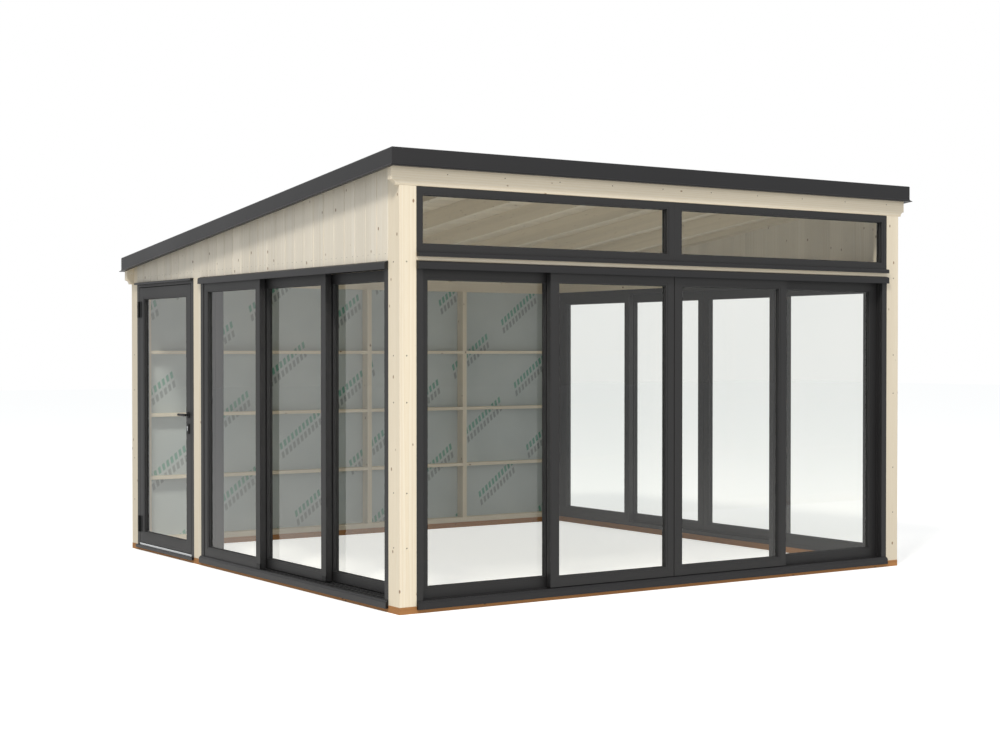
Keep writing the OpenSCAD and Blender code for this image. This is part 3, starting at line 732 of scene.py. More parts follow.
def pinned(value, edges):
    """0 where the sheet is pinned and 1 between: a squared sine between each pair of edges."""
    i = np.clip(np.searchsorted(edges, value, side="right") - 1, 0, len(edges) - 2)
    share = (value - edges[i]) / (edges[i + 1] - edges[i])
    return np.sin(np.pi * share) ** 2


gx, gz = np.meshgrid(np.linspace(cloth_low[0], cloth_high[0], NX),
                     np.linspace(cloth_low[2], cloth_high[2], NZ), indexing="ij")
billow = pinned(gx, bay_edges) * pinned(gz, row_edges)
ripple = 1 + 0.35 * np.sin(gx * 9.1 + gz * 4.3) * np.cos(gz * 7.7 - gx * 2.1)
inner = cloth_low[1] - 7 * MM * billow * ripple
front_sheet = np.stack([gx, inner, gz], axis=-1).reshape(-1, 3)
back_sheet = np.stack([gx, inner + CLOTH_T, gz], axis=-1).reshape(-1, 3)
grid = np.arange(NX * NZ).reshape(NX, NZ)
quads = np.stack([grid[:-1, :-1], grid[1:, :-1], grid[1:, 1:], grid[:-1, 1:]], axis=-1).reshape(-1, 4)
edge = np.concatenate([grid[:, 0], grid[-1, 1:], grid[-2::-1, -1], grid[0, -2:0:-1]])
after = np.roll(edge, -1)
count = NX * NZ
rim = np.stack([edge + count, after + count, after, edge], axis=1)
faces = [*quads.tolist(), *(quads[:, ::-1] + count).tolist(), *rim.tolist()]
flat_uv = np.tile(np.stack([gx, gz], axis=-1).reshape(-1, 2), (2, 1))
membrane = make("wind_membrane", np.vstack([front_sheet, back_sheet]), faces, [membrane_mat],
                slot="wind_membrane", hides=("rear_membrane",), uv=flat_uv, smooth=False)

# ---- Roof edge and covering ------------------------------------------------------------------------
# Folded sheet steel, coated dark grey, wraps the roof's edge: a plain face, a small upstand above
# it and a drip lip below, mitred at the corners. Granulated roofing felt lies between, in lapped
# strips that run along the eaves.


def coated(name, code, rough, grit_mm, uneven):
    """Coated sheet or profile. Baked paint levels to a fine even grain, a little lighter where the
    coat is thin; the grain is drawn at grit_mm so that it shows."""
    mat, tree, out = new_material(name)
    place = add_node(tree, "ShaderNodeTexCoord")
    grit = add_node(tree, "ShaderNodeTexNoise", [("Vector", place.outputs["Object"])],
                    Scale=1000 / grit_mm, Detail=2.0)
    cloud = add_node(tree, "ShaderNodeTexNoise", [("Vector", place.outputs["Object"])], Scale=1.7,
                     Detail=3.0)
    blend = sum_of(tree, "ADD", sum_of(tree, "MULTIPLY", grit.outputs["Fac"], 0.35),
                   sum_of(tree, "MULTIPLY", cloud.outputs["Fac"], 0.65))
    level = add_node(tree, "ShaderNodeMapRange", [(0, blend)], From_Min=0.3, From_Max=0.7,
                     To_Min=1 - uneven, To_Max=1 + uneven)
    colour = add_node(tree, "ShaderNodeVectorMath", [(1, level.outputs[0])], operation="MULTIPLY")
    colour.inputs[0].default_value = linear(code)[:3]
    gloss = add_node(tree, "ShaderNodeMapRange", [(0, blend)], From_Min=0.3, From_Max=0.7,
                     To_Min=rough - 0.05, To_Max=rough + 0.05)
    bump = add_node(tree, "ShaderNodeBump", [("Height", grit.outputs["Fac"])], Strength=0.2,
                    Distance=0.15 * MM)
    shader = add_node(tree, "ShaderNodeBsdfPrincipled", [("Base Color", colour.outputs[0]),
                      ("Roughness", gloss.outputs[0]), ("Normal", bump.outputs[0])], IOR=1.36)
    tree.links.new(shader.outputs[0], out.inputs[0])
    return mat


steel = coated("dark coated sheet steel", "#1d1d1f", 0.42, 1.6, 0.06)
fascia_low, fascia_high = box("end_fascias")
side_low, side_high = box("side_fascias")
DRIP = side_low[0] - fascia_low[0]


def roof_edge():
    """The profile carried round the roof's outline. Each profile point is (out, up) from the
    outer top edge, and every corner of the outline is a mitre."""
    half_x = frame_half
    y0, y1 = eaves_front, eaves_rear
    corner_x = np.array([-1, 1, 1, -1.0])
    corner_y = np.array([-1, -1, 1, 1.0])
    rows = []
    for out, up in edge_profile:
        x = corner_x * (half_x + out)
        y = np.where(corner_y < 0, y0 - out, y1 + out)
        level = np.where(corner_y < 0, edge_top_front, edge_top_rear)
        rows.append(np.stack([x, y, level + up], axis=1))
    points = np.stack(rows)
    n = len(edge_profile)
    faces = []
    for k in range(n):
        m = (k + 1) % n
        for c in range(4):
            d = (c + 1) % 4
            faces.append((m * 4 + c, m * 4 + d, k * 4 + d, k * 4 + c))
    return points.reshape(-1, 3), faces


# The drip reaches furthest out at the foot of the face; the face stands inside the box by the drip.
overall_low, overall_high = np.array(cad_bounds[0]), np.array(cad_bounds[1])
frame_half = deck_high[0] + 18 * MM
eaves_front = deck_low[1] - 18 * MM
eaves_rear = deck_high[1] + 18 * MM
LIP = 5 * MM
edge_top_front = overall_high[2] - LIP
edge_top_rear = edge_top_front - (eaves_rear - eaves_front) * slope
EDGE_H = 115 * MM - LIP
fold_r = 2 * MM
edge_profile = np.array([
    (0.0, -fold_r), (0.0, -EDGE_H + 16 * MM), (4 * MM, -EDGE_H + 10 * MM), (14 * MM, -EDGE_H + 3 * MM),
    (14 * MM, -EDGE_H), (-18 * MM, -EDGE_H), (-18 * MM, -3 * MM), (-16 * MM, 2 * MM),
    (-12 * MM, 5 * MM), (-4 * MM, 5 * MM), (-1 * MM, 3 * MM)])
points, faces = roof_edge()
make("roof_edge_metal", points, faces, [steel], slot="coated_steel", hides=("end_fascias", "side_fascias"))

felt_mat, tree, out = new_material("granulated roofing felt")
place = add_node(tree, "ShaderNodeTexCoord")
grain_cells = add_node(tree, "ShaderNodeTexVoronoi", [("Vector", place.outputs["Object"])], Scale=330.0)
patches = add_node(tree, "ShaderNodeTexNoise", [("Vector", place.outputs["Object"])], Scale=3.0, Detail=4.0)
felt_level = sum_of(tree, "ADD", sum_of(tree, "MULTIPLY", grain_cells.outputs["Distance"], 0.5),
                    sum_of(tree, "MULTIPLY", patches.outputs["Fac"], 0.5))
felt_tone = add_node(tree, "ShaderNodeValToRGB", [(0, felt_level)])
felt_tone.color_ramp.elements[0].position = 0.25
felt_tone.color_ramp.elements[0].color = linear("#2e2f30")
felt_tone.color_ramp.elements[1].position = 0.7
felt_tone.color_ramp.elements[1].color = linear("#4b4c4c")
felt_bump = add_node(tree, "ShaderNodeBump", [("Height", grain_cells.outputs["Distance"])],
                     Strength=0.6, Distance=0.8 * MM)
felt_shader = add_node(tree, "ShaderNodeBsdfPrincipled", [("Base Color", felt_tone.outputs[0]),
                       ("Normal", felt_bump.outputs[0])], Roughness=0.88)
tree.links.new(felt_shader.outputs[0], out.inputs[0])

STRIPS = 5
LAP = 80 * MM
FELT_T = 3 * MM
pile = Pile()
strip_w = (cover_high[1] - cover_low[1]) / STRIPS
felt_base = roof(0.0) + deck_v + 0.4 * MM - roof(0.0)
for i in range(STRIPS):
    y0 = cover_low[1] + i * strip_w
    y1 = min(y0 + strip_w + LAP, cover_high[1])
    # Water runs to the rear, so each strip lies over the one behind it along its rear edge.
    over = 0.0 if i == STRIPS - 1 else FELT_T
    ys = np.array([y0, y0 + LAP, y1 - LAP * 1.3, y1 - LAP, y1]) if over else np.array([y0, y1])
    lift = np.array([0, 0, 0, over, over]) if over else np.array([0.0, 0.0])
    z0 = roof(ys, felt_base) + lift
    z1 = z0 + FELT_T * 0.9
    for a in range(len(ys) - 1):
        low_row = [(x, ys[a + e], (z0 if z == 0 else z1)[a + e]) for e in (0, 1) for z in (0, 1)
                   for x in (cover_low[0] + 1 * MM, cover_high[0] - 1 * MM)]
        pile.add(low_row, [(0, 4, 5, 1), (2, 3, 7, 6), (0, 2, 6, 4), (1, 5, 7, 3), (0, 1, 3, 2),
                           (4, 6, 7, 5)])
pile.make("roof_felt", [felt_mat], slot="roofing_felt", hides=("roof_cover",))

# ---- Door and window frames ------------------------------------------------------------------------
# Extruded aluminium profiles, powder coated matt dark grey. A sliding door's frame has a channel for
# each track, and the members meet in mitres. Wall coordinates: u along a wall, v inwards, z up.

aluminium = coated("matt dark powder-coated aluminium", "#262627", 0.5, 1.2, 0.05)
ON_FRONT, ON_LEFT, ON_RIGHT = "front", "left", "right"


def on_wall(wall, u, v, z):
    """Points from wall coordinates, in metres: u along the wall from its front or left end."""
    if wall == ON_FRONT:
        return np.stack([u - wall_half, v + front_y, z], axis=-1)
    if wall == ON_LEFT:
        return np.stack([v - wall_half, u + front_y, z], axis=-1)
    return np.stack([wall_half - v, u + front_y, z], axis=-1)


def to_wall(wall, low, high):
    """A box in wall coordinates: (u0, u1, v0, v1, z0, z1)."""
    if wall == ON_FRONT:
        return (low[0] + wall_half, high[0] + wall_half, low[1] - front_y, high[1] - front_y,
                low[2], high[2])
    if wall == ON_LEFT:
        return (low[1] - front_y, high[1] - front_y, low[0] + wall_half, high[0] + wall_half,
                low[2], high[2])
    return (low[1] - front_y, high[1] - front_y, wall_half - high[0], wall_half - low[0],
            low[2], high[2])


def ring(pile, wall, rect, widths, profile, index=0, grain=None):
    """A mitred frame round the box rect = (u0, u1, z0, z1). Each profile point (share, inset, v)
    lies share of the member's width plus inset in from the frame's outer edge, at depth v. widths
    are the members' widths: left, right, bottom, top. The profile is closed and turns so that its
    faces point out."""
    u0, u1, z0, z1 = rect
    left, right, bottom, top = widths
    prof = np.array(profile, dtype=float)
    share, inset, v = prof[:, 0], prof[:, 1], prof[:, 2]
    us = np.stack([u0 + share * left + inset, u1 - share * right - inset,
                   u1 - share * right - inset, u0 + share * left + inset], axis=1)
    zs = np.stack([z0 + share * bottom + inset, z0 + share * bottom + inset,
                   z1 - share * top - inset, z1 - share * top - inset], axis=1)
    vs = np.repeat(v[:, None], 4, axis=1)
    points = on_wall(wall, us, vs, zs).reshape(-1, 3)
    n = len(prof)
    faces = []
    for k in range(n):
        m = (k + 1) % n
        for c in range(4):
            d = (c + 1) % 4
            faces.append((k * 4 + c, k * 4 + d, m * 4 + d, m * 4 + c))
    if wall == ON_LEFT:
        faces = [f[::-1] for f in faces]
    pile.add(points, faces, grain, index)


def bar(pile, wall, u, v, z, index=0, arris=0.8 * MM):
    """A straight bar in wall coordinates, with a small arris on its four long edges."""
    low = on_wall(wall, np.array([u[0]]), np.array([v[0]]), np.array([z[0]]))[0]
    high = on_wall(wall, np.array([u[1]]), np.array([v[1]]), np.array([z[1]]))[0]
    a, b = np.minimum(low, high), np.maximum(low, high)
    along = "xyz"[int(np.argmax(b - a))]
    stick(pile, a, b, along, arris=arris, index=index)


E = 1.0 * MM


def frame_profile(deep, tracks, pitch, first):
    """A door frame's section: outer edge, outer face, then a fin between channels for each track,
    and the inner face. Channels are 7 mm deep."""
    channel = -7 * MM
    pts = [(0, 0, deep), (0, 0, 0), (1, -E, 0), (1, 0, E)]
    for t in range(tracks):
        a = first + t * pitch + 5 * MM
        b = first + t * pitch + 40 * MM
        pts += [(1, 0, a), (1, channel, a), (1, channel, b), (1, 0, b)]
    return pts + [(1, 0, deep - E), (1, -E, deep)]


def sash_profile(deep, glass):
    """A sash's section: square outside with small arrises, a narrow groove beside the glazing
    bead, and a bead that slopes down to the gasket. glass is the pane's thickness."""
    g0, g1 = (deep - glass) / 2, (deep + glass) / 2
    bead = 14 * MM
    cut = 1.2 * MM
    return [(0, E, deep), (0, 0, deep - E), (0, 0, E), (0, E, 0),
            (1, -bead - cut, 0), (1, -bead - cut, 2 * cut), (1, -bead, 2 * cut), (1, -bead, cut),
            (1, -2 * MM, cut), (1, 0, 4 * MM), (1, 0, g0),
            (1, 0, g1), (1, 0, deep - 4 * MM), (1, -2 * MM, deep - cut), (1, -bead, deep - cut),
            (1, -bead, deep - 2 * cut), (1, -bead - cut, deep - 2 * cut), (1, -bead - cut, deep)]


gasket_mat, tree, out = new_material("black rubber gasket")
place = add_node(tree, "ShaderNodeTexCoord")
bloom = add_node(tree, "ShaderNodeTexNoise", [("Vector", place.outputs["Object"])], Scale=60.0)
bloom_tone = add_node(tree, "ShaderNodeValToRGB", [(0, bloom.outputs["Fac"])])
bloom_tone.color_ramp.elements[0].color = linear("#151617")
bloom_tone.color_ramp.elements[1].color = linear("#262728")
rubber = add_node(tree, "ShaderNodeBsdfPrincipled", [("Base Color", bloom_tone.outputs[0])],
                  Roughness=0.75)
tree.links.new(rubber.outputs[0], out.inputs[0])
GASKET = 4.5 * MM


def gaskets(pile, wall, rect, widths, v0, deep, glass):
    """A rubber strip beside the glass on each face, from the bead's foot to the pane."""
    for face, way in (((deep - glass) / 2, -1), ((deep + glass) / 2, 1)):
        a = v0 + face
        b = a + way * 5 * MM
        low, high = min(a, b), max(a, b)
        tip = low if way < 0 else high
        foot = high if way < 0 else low
        section = [(1, 0, high), (1, 0, low), (1, GASKET * 0.5, tip), (1, GASKET, foot)]
        if way > 0:
            section = [(1, 0, high), (1, 0, low), (1, GASKET, foot), (1, GASKET * 0.5, tip)]
        ring(pile, wall, rect, widths, section, index=1)


clear_mat, tree, out = new_material("clear toughened glass")
# Toughened float glass: nearly clear with a faint grey-green cast, and a plain sharp sheen.
mirror = add_node(tree, "ShaderNodeBsdfGlossy", Color=(1, 1, 1, 1), Roughness=0.0)
place = add_node(tree, "ShaderNodeTexCoord")
film = add_node(tree, "ShaderNodeTexNoise", [("Vector", place.outputs["Object"])], Scale=0.8)
tint = add_node(tree, "ShaderNodeValToRGB", [(0, film.outputs["Fac"])])
tint.color_ramp.elements[0].color = linear("#f8f9f8")
tint.color_ramp.elements[1].color = linear("#fcfcfb")
through = add_node(tree, "ShaderNodeBsdfTransparent", [("Color", tint.outputs[0])])
edge_on = add_node(tree, "ShaderNodeFresnel", IOR=1.5)
facing = add_node(tree, "ShaderNodeNewGeometry")
outer_face = add_node(tree, "ShaderNodeMath", [(1, facing.outputs["Backfacing"])], operation="SUBTRACT")
outer_face.inputs[0].default_value = 1.0
sheen = add_node(tree, "ShaderNodeMath", [(0, edge_on.outputs[0]), (1, outer_face.outputs[0])],
                 operation="MULTIPLY")
pane_mix = add_node(tree, "ShaderNodeMixShader", [(0, sheen.outputs[0]), (1, through.outputs[0]),
                                                  (2, mirror.outputs[0])])
tree.links.new(pane_mix.outputs[0], out.inputs[0])
GLASS_NODES = [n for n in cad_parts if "glass" in n]
for n in GLASS_NODES:
    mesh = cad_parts[n].data
    mesh.materials.clear()
    mesh.materials.append(clear_mat)

panes = {n: solids(n) for n in GLASS_NODES}
GROOVE = 12 * MM
GLASS_T = 6 * MM


def widths_round(rect, pane):
    """The members' widths of a frame, from its box and its pane's box less the groove."""
    u0, u1, z0, z1 = rect
    p0, p1, q0, q1 = pane
    return (p0 + GROOVE - u0, u1 - p1 + GROOVE, q0 + GROOVE - z0, z1 - q1 + GROOVE)


def glazed(name, node, wall, body, pairs):
    """Sashes or windows as frames with gaskets. pairs are (box, pane box) in wall coordinates."""
    pile = Pile()
    for outer, pane in pairs:
        rect = (outer[0], outer[1], outer[4], outer[5])
        widths = widths_round(rect, (pane[0], pane[1], pane[4], pane[5]))
        deep = outer[3] - outer[2]
        section = [(s, i, outer[2] + v) for s, i, v in sash_profile(deep, GLASS_T)]
        ring(pile, wall, rect, widths, section)
        gaskets(pile, wall, rect, widths, outer[2], deep, GLASS_T)
    return pile


ALL_PANES = [(low, high) for n in GLASS_NODES for low, high in panes[n]]


def pane_inside(wall, outer):
    """The pane that lies inside a frame's box, in wall coordinates."""
    for low, high in ALL_PANES:
        p = to_wall(wall, low, high)
        if (outer[0] < p[0] and p[1] < outer[1] and outer[2] < p[2] and p[3] < outer[3]
                and outer[4] < p[4] and p[5] < outer[5]):
            return p
    raise ValueError("no pane in this frame")


def sash_boxes(node, wall):
    """The boxes of a node's sashes in wall coordinates."""
    found = []
    for low, high in solids(node):
        b = list(to_wall(wall, low, high))
        found.append(b)
    return found


SASHES = [
    ("front_fixed_sashes", ON_FRONT, "building"),
    ("front_sash_left", ON_FRONT, "front_left_leaf"),
    ("front_sash_right", ON_FRONT, "front_right_leaf"),
    ("left_fixed_sash", ON_LEFT, "building"),
    ("left_sash_middle", ON_LEFT, "left_middle_leaf"),
    ("left_sash_front", ON_LEFT, "left_front_leaf"),
    ("right_fixed_sashes", ON_RIGHT, "building"),
    ("right_sash_front", ON_RIGHT, "right_front_leaf"),
    ("right_sash_rear", ON_RIGHT, "right_rear_leaf"),
]
RUN_GAP = 5 * MM
ROLLER_R = 12 * MM
sash_of = {}


def wheel(pile, wall, u, v0, v1, z, radius, index=1, sides=24):
    """A roller: a short cylinder across the sash."""
    turn = np.linspace(0, 2 * np.pi, sides, endpoint=False)
    cu, cz = u + radius * np.cos(turn), z + radius * np.sin(turn)
    a = on_wall(wall, cu, np.full(sides, v0), cz)
    b = on_wall(wall, cu, np.full(sides, v1), cz)
    i = np.arange(sides)
    j = (i + 1) % sides
    faces = [*np.stack([i, j, j + sides, i + sides], axis=1).tolist(), list(range(sides))[::-1],
             list(range(sides, 2 * sides))]
    if wall != ON_LEFT:
        faces = [f[::-1] for f in faces]
    pile.add(np.vstack([a, b]), faces, index=index)


for node, wall, body in SASHES:
    moves = body != "building"
    pairs = []
    for outer in sash_boxes(node, wall):
        if moves:
            # The node's box takes in its rollers, which hang a running gap below the sash.
            outer[4] = outer[5] - (outer[5] - outer[4]) + RUN_GAP - 0.3 * MM
        pairs.append((outer, pane_inside(wall, outer)))
    pile = glazed(node, node, wall, body, pairs)
    if moves:
        outer, pane = pairs[0]
        middle = (outer[2] + outer[3]) / 2
        for u in (pane[0] + GROOVE, pane[1] - GROOVE):
            wheel(pile, wall, u, middle - 5 * MM, middle + 5 * MM,
                  outer[4] - RUN_GAP + 0.3 * MM + ROLLER_R, ROLLER_R)
    pile.make(node + "_profiles", [aluminium, gasket_mat], body=body, slot="coated_aluminium",
              hides=(node,))
    sash_of[node] = pairs

window_outer = to_wall(ON_FRONT, *box("upper_window_frame"))
window_panes = sorted(p for p in (to_wall(ON_FRONT, *b) for b in panes["fixed_glass"])
                      if p[4] > window_outer[4] and window_outer[2] < p[2] < window_outer[3])
mid_u = (window_panes[0][1] + window_panes[1][0]) / 2
pile = Pile()
for rect_u, pane in (((window_outer[0], mid_u), window_panes[0]), ((mid_u, window_outer[1]), window_panes[1])):
    rect = (rect_u[0], rect_u[1], window_outer[4], window_outer[5])
    widths = widths_round(rect, (pane[0], pane[1], pane[4], pane[5]))
    deep = window_outer[3] - window_outer[2]
    section = [(s, i, window_outer[2] + v) for s, i, v in sash_profile(deep, GLASS_T)]
    ring(pile, ON_FRONT, rect, widths, section)
    gaskets(pile, ON_FRONT, rect, widths, window_outer[2], deep, GLASS_T)
pile.make("upper_window_profiles", [aluminium, gasket_mat], slot="coated_aluminium",
          hides=("upper_window_frame",))

TRACK_PITCH = 57 * MM
TRACK_IN = 4 * MM
JAMB, HEAD, SILL = 48 * MM, 40 * MM, 30 * MM
for node, wall, tracks in (("front_door_frame", ON_FRONT, 2), ("left_door_frame", ON_LEFT, 3),
                           ("right_door_frame", ON_RIGHT, 2)):
    outer = to_wall(wall, *box(node))
    rect = (outer[0], outer[1], outer[4], outer[5])
    pile = Pile()
    section = frame_profile(outer[3] - outer[2], tracks, TRACK_PITCH, TRACK_IN)
    ring(pile, wall, rect, (JAMB, JAMB, SILL, HEAD), section)
    pile.make(node + "_profiles", [aluminium], slot="coated_aluminium", hides=(node,))

# ---- Dark blocks at the foot of the left sashes ----------------------------------------------------
# A near-black block stands at the lower front corner of each overlapping left sash, a little proud of its
# outer face.

black_mat = coated("black moulded nylon", "#101112", 0.55, 1.0, 0.08)
BLOCK_W, BLOCK_H, BLOCK_OUT = 50 * MM, 38 * MM, 4 * MM
for node, body in (("left_fixed_sash", "building"), ("left_sash_middle", "left_middle_leaf")):
    outer = sash_of[node][0][0]
    pile = Pile()
    bar(pile, ON_LEFT, (outer[0] - 2 * MM, outer[0] + BLOCK_W), (outer[2] - BLOCK_OUT, outer[2] + 8 * MM),
        (outer[4] + 1 * MM, outer[4] + BLOCK_H), arris=2 * MM)
    pile.make(node + "_foot_block", [black_mat], body=body, slot="black_fittings")

# ---- Flashings -------------------------------------------------------------------------------------
# Folded coated sheet: over each door a flashing with a rounded nose throws rain off, and at each
# sill another covers the joint with the sole. Their ends are folded shut.


def flashing_profile(lip, out, tall, thick=2.5 * MM, steps=5):
    """The section of a flashing as (out, down) from its upper inner edge, drawn as a solid nose: a lip against
    the wall, a slope, a round nose and a straight drop."""
    turn = np.linspace(0.15 * np.pi, 0.5 * np.pi, steps)
    r = min(out * 0.45, tall * 0.3)
    cx, cz = out - r, -tall * 0.32
    nose = [(cx + r * np.sin(t), cz + r * np.cos(t)) for t in turn]
    return [(0.0, 0.0), (lip, 0.0), *nose, (out, -tall + 3 * MM), (out, -tall), (out - thick, -tall),
            (0.0, -tall * 0.96)]


def flashings(name, node, lip):
    """Each flashing of a node, swept along its wall inside its own box."""
    pile = Pile()
    for low, high in solids(node):
        centre = (low + high) / 2
        size = high - low
        if size[0] > size[1]:
            wall = ON_FRONT
        else:
            wall = ON_LEFT if centre[0] < 0 else ON_RIGHT
        u0, u1, v0, v1, z0, z1 = to_wall(wall, low, high)
        prof = np.array(flashing_profile(lip, -v0, z1 - z0))
        n = len(prof)
        a = on_wall(wall, np.full(n, u0), -prof[:, 0], z1 + prof[:, 1])
        b = on_wall(wall, np.full(n, u1), -prof[:, 0], z1 + prof[:, 1])
        i = np.arange(n)
        j = (i + 1) % n
        faces = [*np.stack([i, j, j + n, i + n], axis=1).tolist(), list(range(n))[::-1],
                 list(range(n, 2 * n))]
        if wall == ON_LEFT:
            faces = [f[::-1] for f in faces]
        pile.add(np.vstack([a, b]), faces)
    pile.make(name, [steel], slot="coated_steel", hides=(node,))


flashings("head_flashing_metal", "head_flashings", 4 * MM)
flashings("sill_flashing_metal", "sill_flashings", 8 * MM)

# ---- Side door -------------------------------------------------------------------------------------
# One glazed leaf of the same coated profile hangs at its rear edge on two hinges, in a frame with
# a mill-finish threshold. It swings outwards.

outer = to_wall(ON_LEFT, *box("side_door_frame"))
pile = Pile()
deep = outer[3] - outer[2]
side_section = [(0, 0, deep), (0, 0, 0), (1, -E, 0), (1, 0, E), (1, 0, 46 * MM), (1, 14 * MM, 46 * MM),
                (1, 14 * MM, 49 * MM), (1, 0, 49 * MM), (1, 0, deep - E), (1, -E, deep)]
side_section = [(s, min(i, 4 * MM), v) for s, i, v in side_section]
# The frame has no bottom member, so its ring starts below the floor line and is cut there by the
# threshold: jambs and head are drawn as three bars with mitred top corners.
prof = np.array(side_section)
n = len(prof)
left_u = outer[0] + prof[:, 0] * JAMB + prof[:, 1]
right_u = outer[1] - prof[:, 0] * JAMB - prof[:, 1]
top_z = outer[5] - prof[:, 0] * HEAD - prof[:, 1]
path = [(left_u, np.full(n, outer[4])), (left_u, top_z), (right_u, top_z), (right_u, np.full(n, outer[4]))]
points = np.vstack([on_wall(ON_LEFT, us, outer[2] + prof[:, 2], zs) for us, zs in path])
i = np.arange(n)
j = (i + 1) % n
faces = []
for k in range(3):
    faces += np.stack([i + k * n, j + k * n, j + (k + 1) * n, i + (k + 1) * n], axis=1).tolist()
faces += [list(range(n))[::-1], list(range(3 * n, 4 * n))]
pile.add(points, [f[::-1] for f in faces])
pile.make("side_door_frame_profiles", [aluminium], slot="coated_aluminium", hides=("side_door_frame",))

leaf = to_wall(ON_LEFT, *box("side_door_leaf"))
leaf_pane = pane_inside(ON_LEFT, leaf)
pile = glazed("side_door_leaf", "side_door_leaf", ON_LEFT, "side_leaf", [(leaf, leaf_pane)])
pile.make("side_door_leaf_profiles", [aluminium, gasket_mat], body="side_leaf", slot="coated_aluminium",
          hides=("side_door_leaf",))

bright_mat, tree, out = new_material("mill-finish aluminium")
place = add_node(tree, "ShaderNodeTexCoord")
drawn = add_node(tree, "ShaderNodeMapping", [("Vector", place.outputs["Object"])],
                 Scale=(900.0, 12.0, 900.0))
lines = add_node(tree, "ShaderNodeTexNoise", [("Vector", drawn.outputs[0])], Scale=1.0, Detail=2.0)
bright_tone = add_node(tree, "ShaderNodeValToRGB", [(0, lines.outputs["Fac"])])
bright_tone.color_ramp.elements[0].color = linear("#a9acaf")
bright_tone.color_ramp.elements[1].color = linear("#cfd1d3")
bright_rough = add_node(tree, "ShaderNodeMapRange", [(0, lines.outputs["Fac"])], To_Min=0.28, To_Max=0.42)
bright = add_node(tree, "ShaderNodeBsdfPrincipled", [("Base Color", bright_tone.outputs[0]),
                  ("Roughness", bright_rough.outputs[0])], Metallic=1.0)
tree.links.new(bright.outputs[0], out.inputs[0])

sill = to_wall(ON_LEFT, *box("side_door_threshold"))
RIDGES = 9
steps = np.linspace(sill[2], sill[3], RIDGES * 4 + 1)
height = sill[5] - 1.2 * MM * (np.arange(RIDGES * 4 + 1) // 2 % 2)
outline = np.vstack([[(sill[2], sill[4])], [(sill[3], sill[4])],
                     np.stack([steps, height], axis=1)[::-1]])
n = len(outline)
a = on_wall(ON_LEFT, np.full(n, sill[0]), outline[:, 0], outline[:, 1])
b = on_wall(ON_LEFT, np.full(n, sill[1]), outline[:, 0], outline[:, 1])
i = np.arange(n)
j = (i + 1) % n
faces = [*np.stack([i, i + n, j + n, j], axis=1).tolist(), list(range(n)),
         list(range(n, 2 * n))[::-1]]
make("threshold_ridges", np.vstack([a, b]), faces, [bright_mat], slot="bare_aluminium",
     hides=("side_door_threshold",))

# ---- Hinges, lock and lever ------------------------------------------------------------------------
# Two butt hinges with turned knuckles, screwed to the outer faces. A flat black lever on a round
# rose works the latch, and a plate below it holds the bright key cylinder.

for n in ("hinge_jamb_halves", "hinge_leaf_halves", "side_door_lock"):
    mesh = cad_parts[n].data
    mesh.materials.clear()
    mesh.materials.append(black_mat)


def disc(pile, wall, u, z, v0, v1, radius, index=0, sides=32, dome=0.0):
    """A round boss out from v0 to v1, with its outer edge rounded by `dome`."""
    turn = np.linspace(0, 2 * np.pi, sides, endpoint=False)
    rows = [(v0, radius), (v1 + np.sign(v0 - v1) * dome, radius), (v1, radius - dome)]
    points = np.vstack([on_wall(wall, u + r * np.cos(turn), np.full(sides, v), z + r * np.sin(turn))
                        for v, r in rows])
    i = np.arange(sides)
    j = (i + 1) % sides
    faces = []
    for k in range(2):
        faces += np.stack([i + k * sides, j + k * sides, j + (k + 1) * sides, i + (k + 1) * sides],
                          axis=1).tolist()
    faces += [list(range(sides))[::-1], list(range(2 * sides, 3 * sides))]
    outwards = v1 < v0
    if (wall == ON_LEFT) == outwards:
        faces = [f[::-1] for f in faces]
    pile.add(points, faces, index=index)


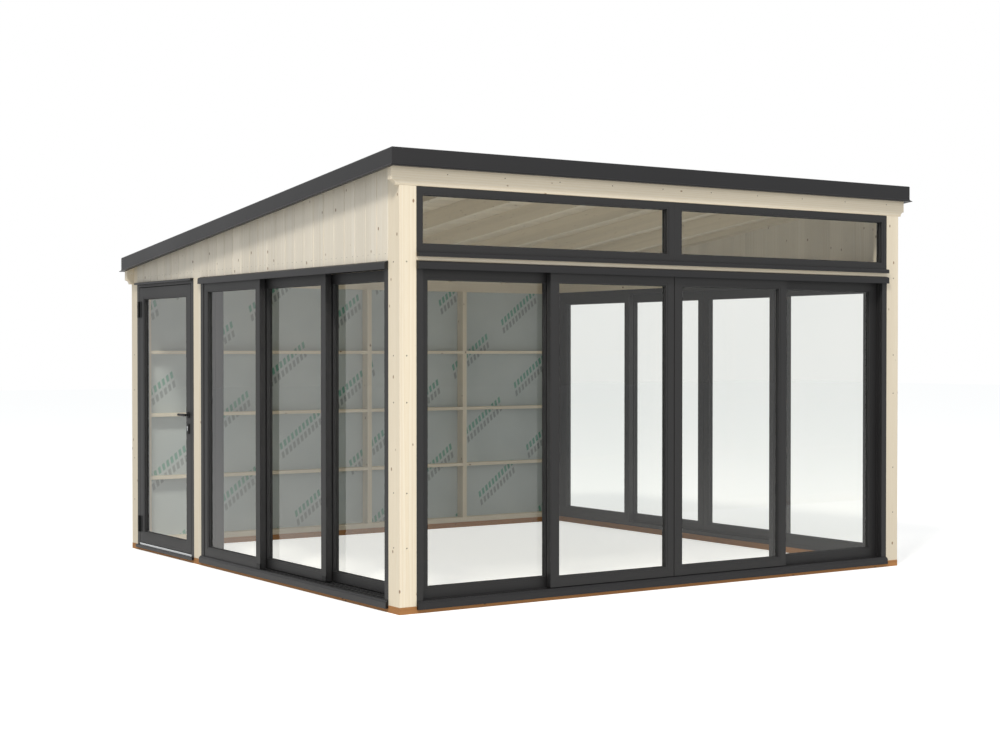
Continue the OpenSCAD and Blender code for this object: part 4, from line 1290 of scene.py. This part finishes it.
lock_low, lock_high = box("side_door_lock")
lever_low, lever_high = box("side_door_lever")
lever_box = to_wall(ON_LEFT, lever_low, lever_high)
lock_box = to_wall(ON_LEFT, lock_low, lock_high)
spindle_z = (lever_box[4] + lever_box[5]) / 2
spindle_u = (lock_box[0] + lock_box[1]) / 2
plate_z = lock_box[4] + 39 * MM
pile = Pile()
disc(pile, ON_LEFT, spindle_u, plate_z + 14 * MM, lock_box[2], lock_box[2] - 3 * MM, 8.5 * MM, dome=1 * MM)
bar(pile, ON_LEFT, (spindle_u - 5 * MM, spindle_u + 5 * MM), (lock_box[2] - 3 * MM, lock_box[2] + 1 * MM),
    (plate_z - 14 * MM, plate_z + 10 * MM), arris=2 * MM)
disc(pile, ON_LEFT, spindle_u, plate_z + 14 * MM, lock_box[3], lock_box[3] + 3 * MM, 8.5 * MM, dome=1 * MM)
pile.make("key_cylinder", [bright_mat], body="side_leaf", slot="bare_aluminium")


def lever_grip(pile, way):
    """One grip: a flat bar with round ends that thins towards its tip. way is -1 outside and 1 inside."""
    v_face = lever_box[2] if way < 0 else lever_box[3]
    v_back = v_face - way * 14 * MM
    r = (lever_box[5] - lever_box[4]) / 2
    tip = lever_box[1] - r
    turn = np.linspace(np.pi / 2, 3 * np.pi / 2, 13)
    start = np.stack([spindle_u + r * np.cos(turn), spindle_z + r * np.sin(turn)], axis=1)
    end = np.stack([tip - r * 0.9 * np.cos(turn), spindle_z - r * 0.9 * np.sin(turn)], axis=1)
    outline = np.vstack([start, end])
    n = len(outline)
    middle = np.array([(spindle_u + tip) / 2, spindle_z])
    rows = []
    for v, inset in ((v_back, 1.5 * MM), (v_back + way * 1.5 * MM, 0.0), (v_face - way * 2 * MM, 0.0),
                     (v_face, 2 * MM)):
        p = outline - np.sign(outline - middle) * inset
        rows.append(on_wall(ON_LEFT, p[:, 0], np.full(n, v), p[:, 1]))
    i = np.arange(n)
    j = (i + 1) % n
    faces = []
    for k in range(3):
        faces += np.stack([i + k * n, j + k * n, j + (k + 1) * n, i + (k + 1) * n], axis=1).tolist()
    faces += [list(range(n))[::-1], list(range(3 * n, 4 * n))]
    if way < 0:
        faces = [f[::-1] for f in faces]
    pile.add(np.vstack(rows), faces)


pile = Pile()
for way in (-1, 1):
    lever_grip(pile, way)
NECK_R, NECK_GAP, NECK_IN = 8.5 * MM, 0.5 * MM, 8 * MM
disc(pile, ON_LEFT, spindle_u, spindle_z, leaf[2] - NECK_GAP, lever_box[2] + NECK_IN, NECK_R)
disc(pile, ON_LEFT, spindle_u, spindle_z, leaf[3] + NECK_GAP, lever_box[3] - NECK_IN, NECK_R)
pile.make("lever_handle", [black_mat], body="lever", slot="black_fittings", hides=("side_door_lever",))
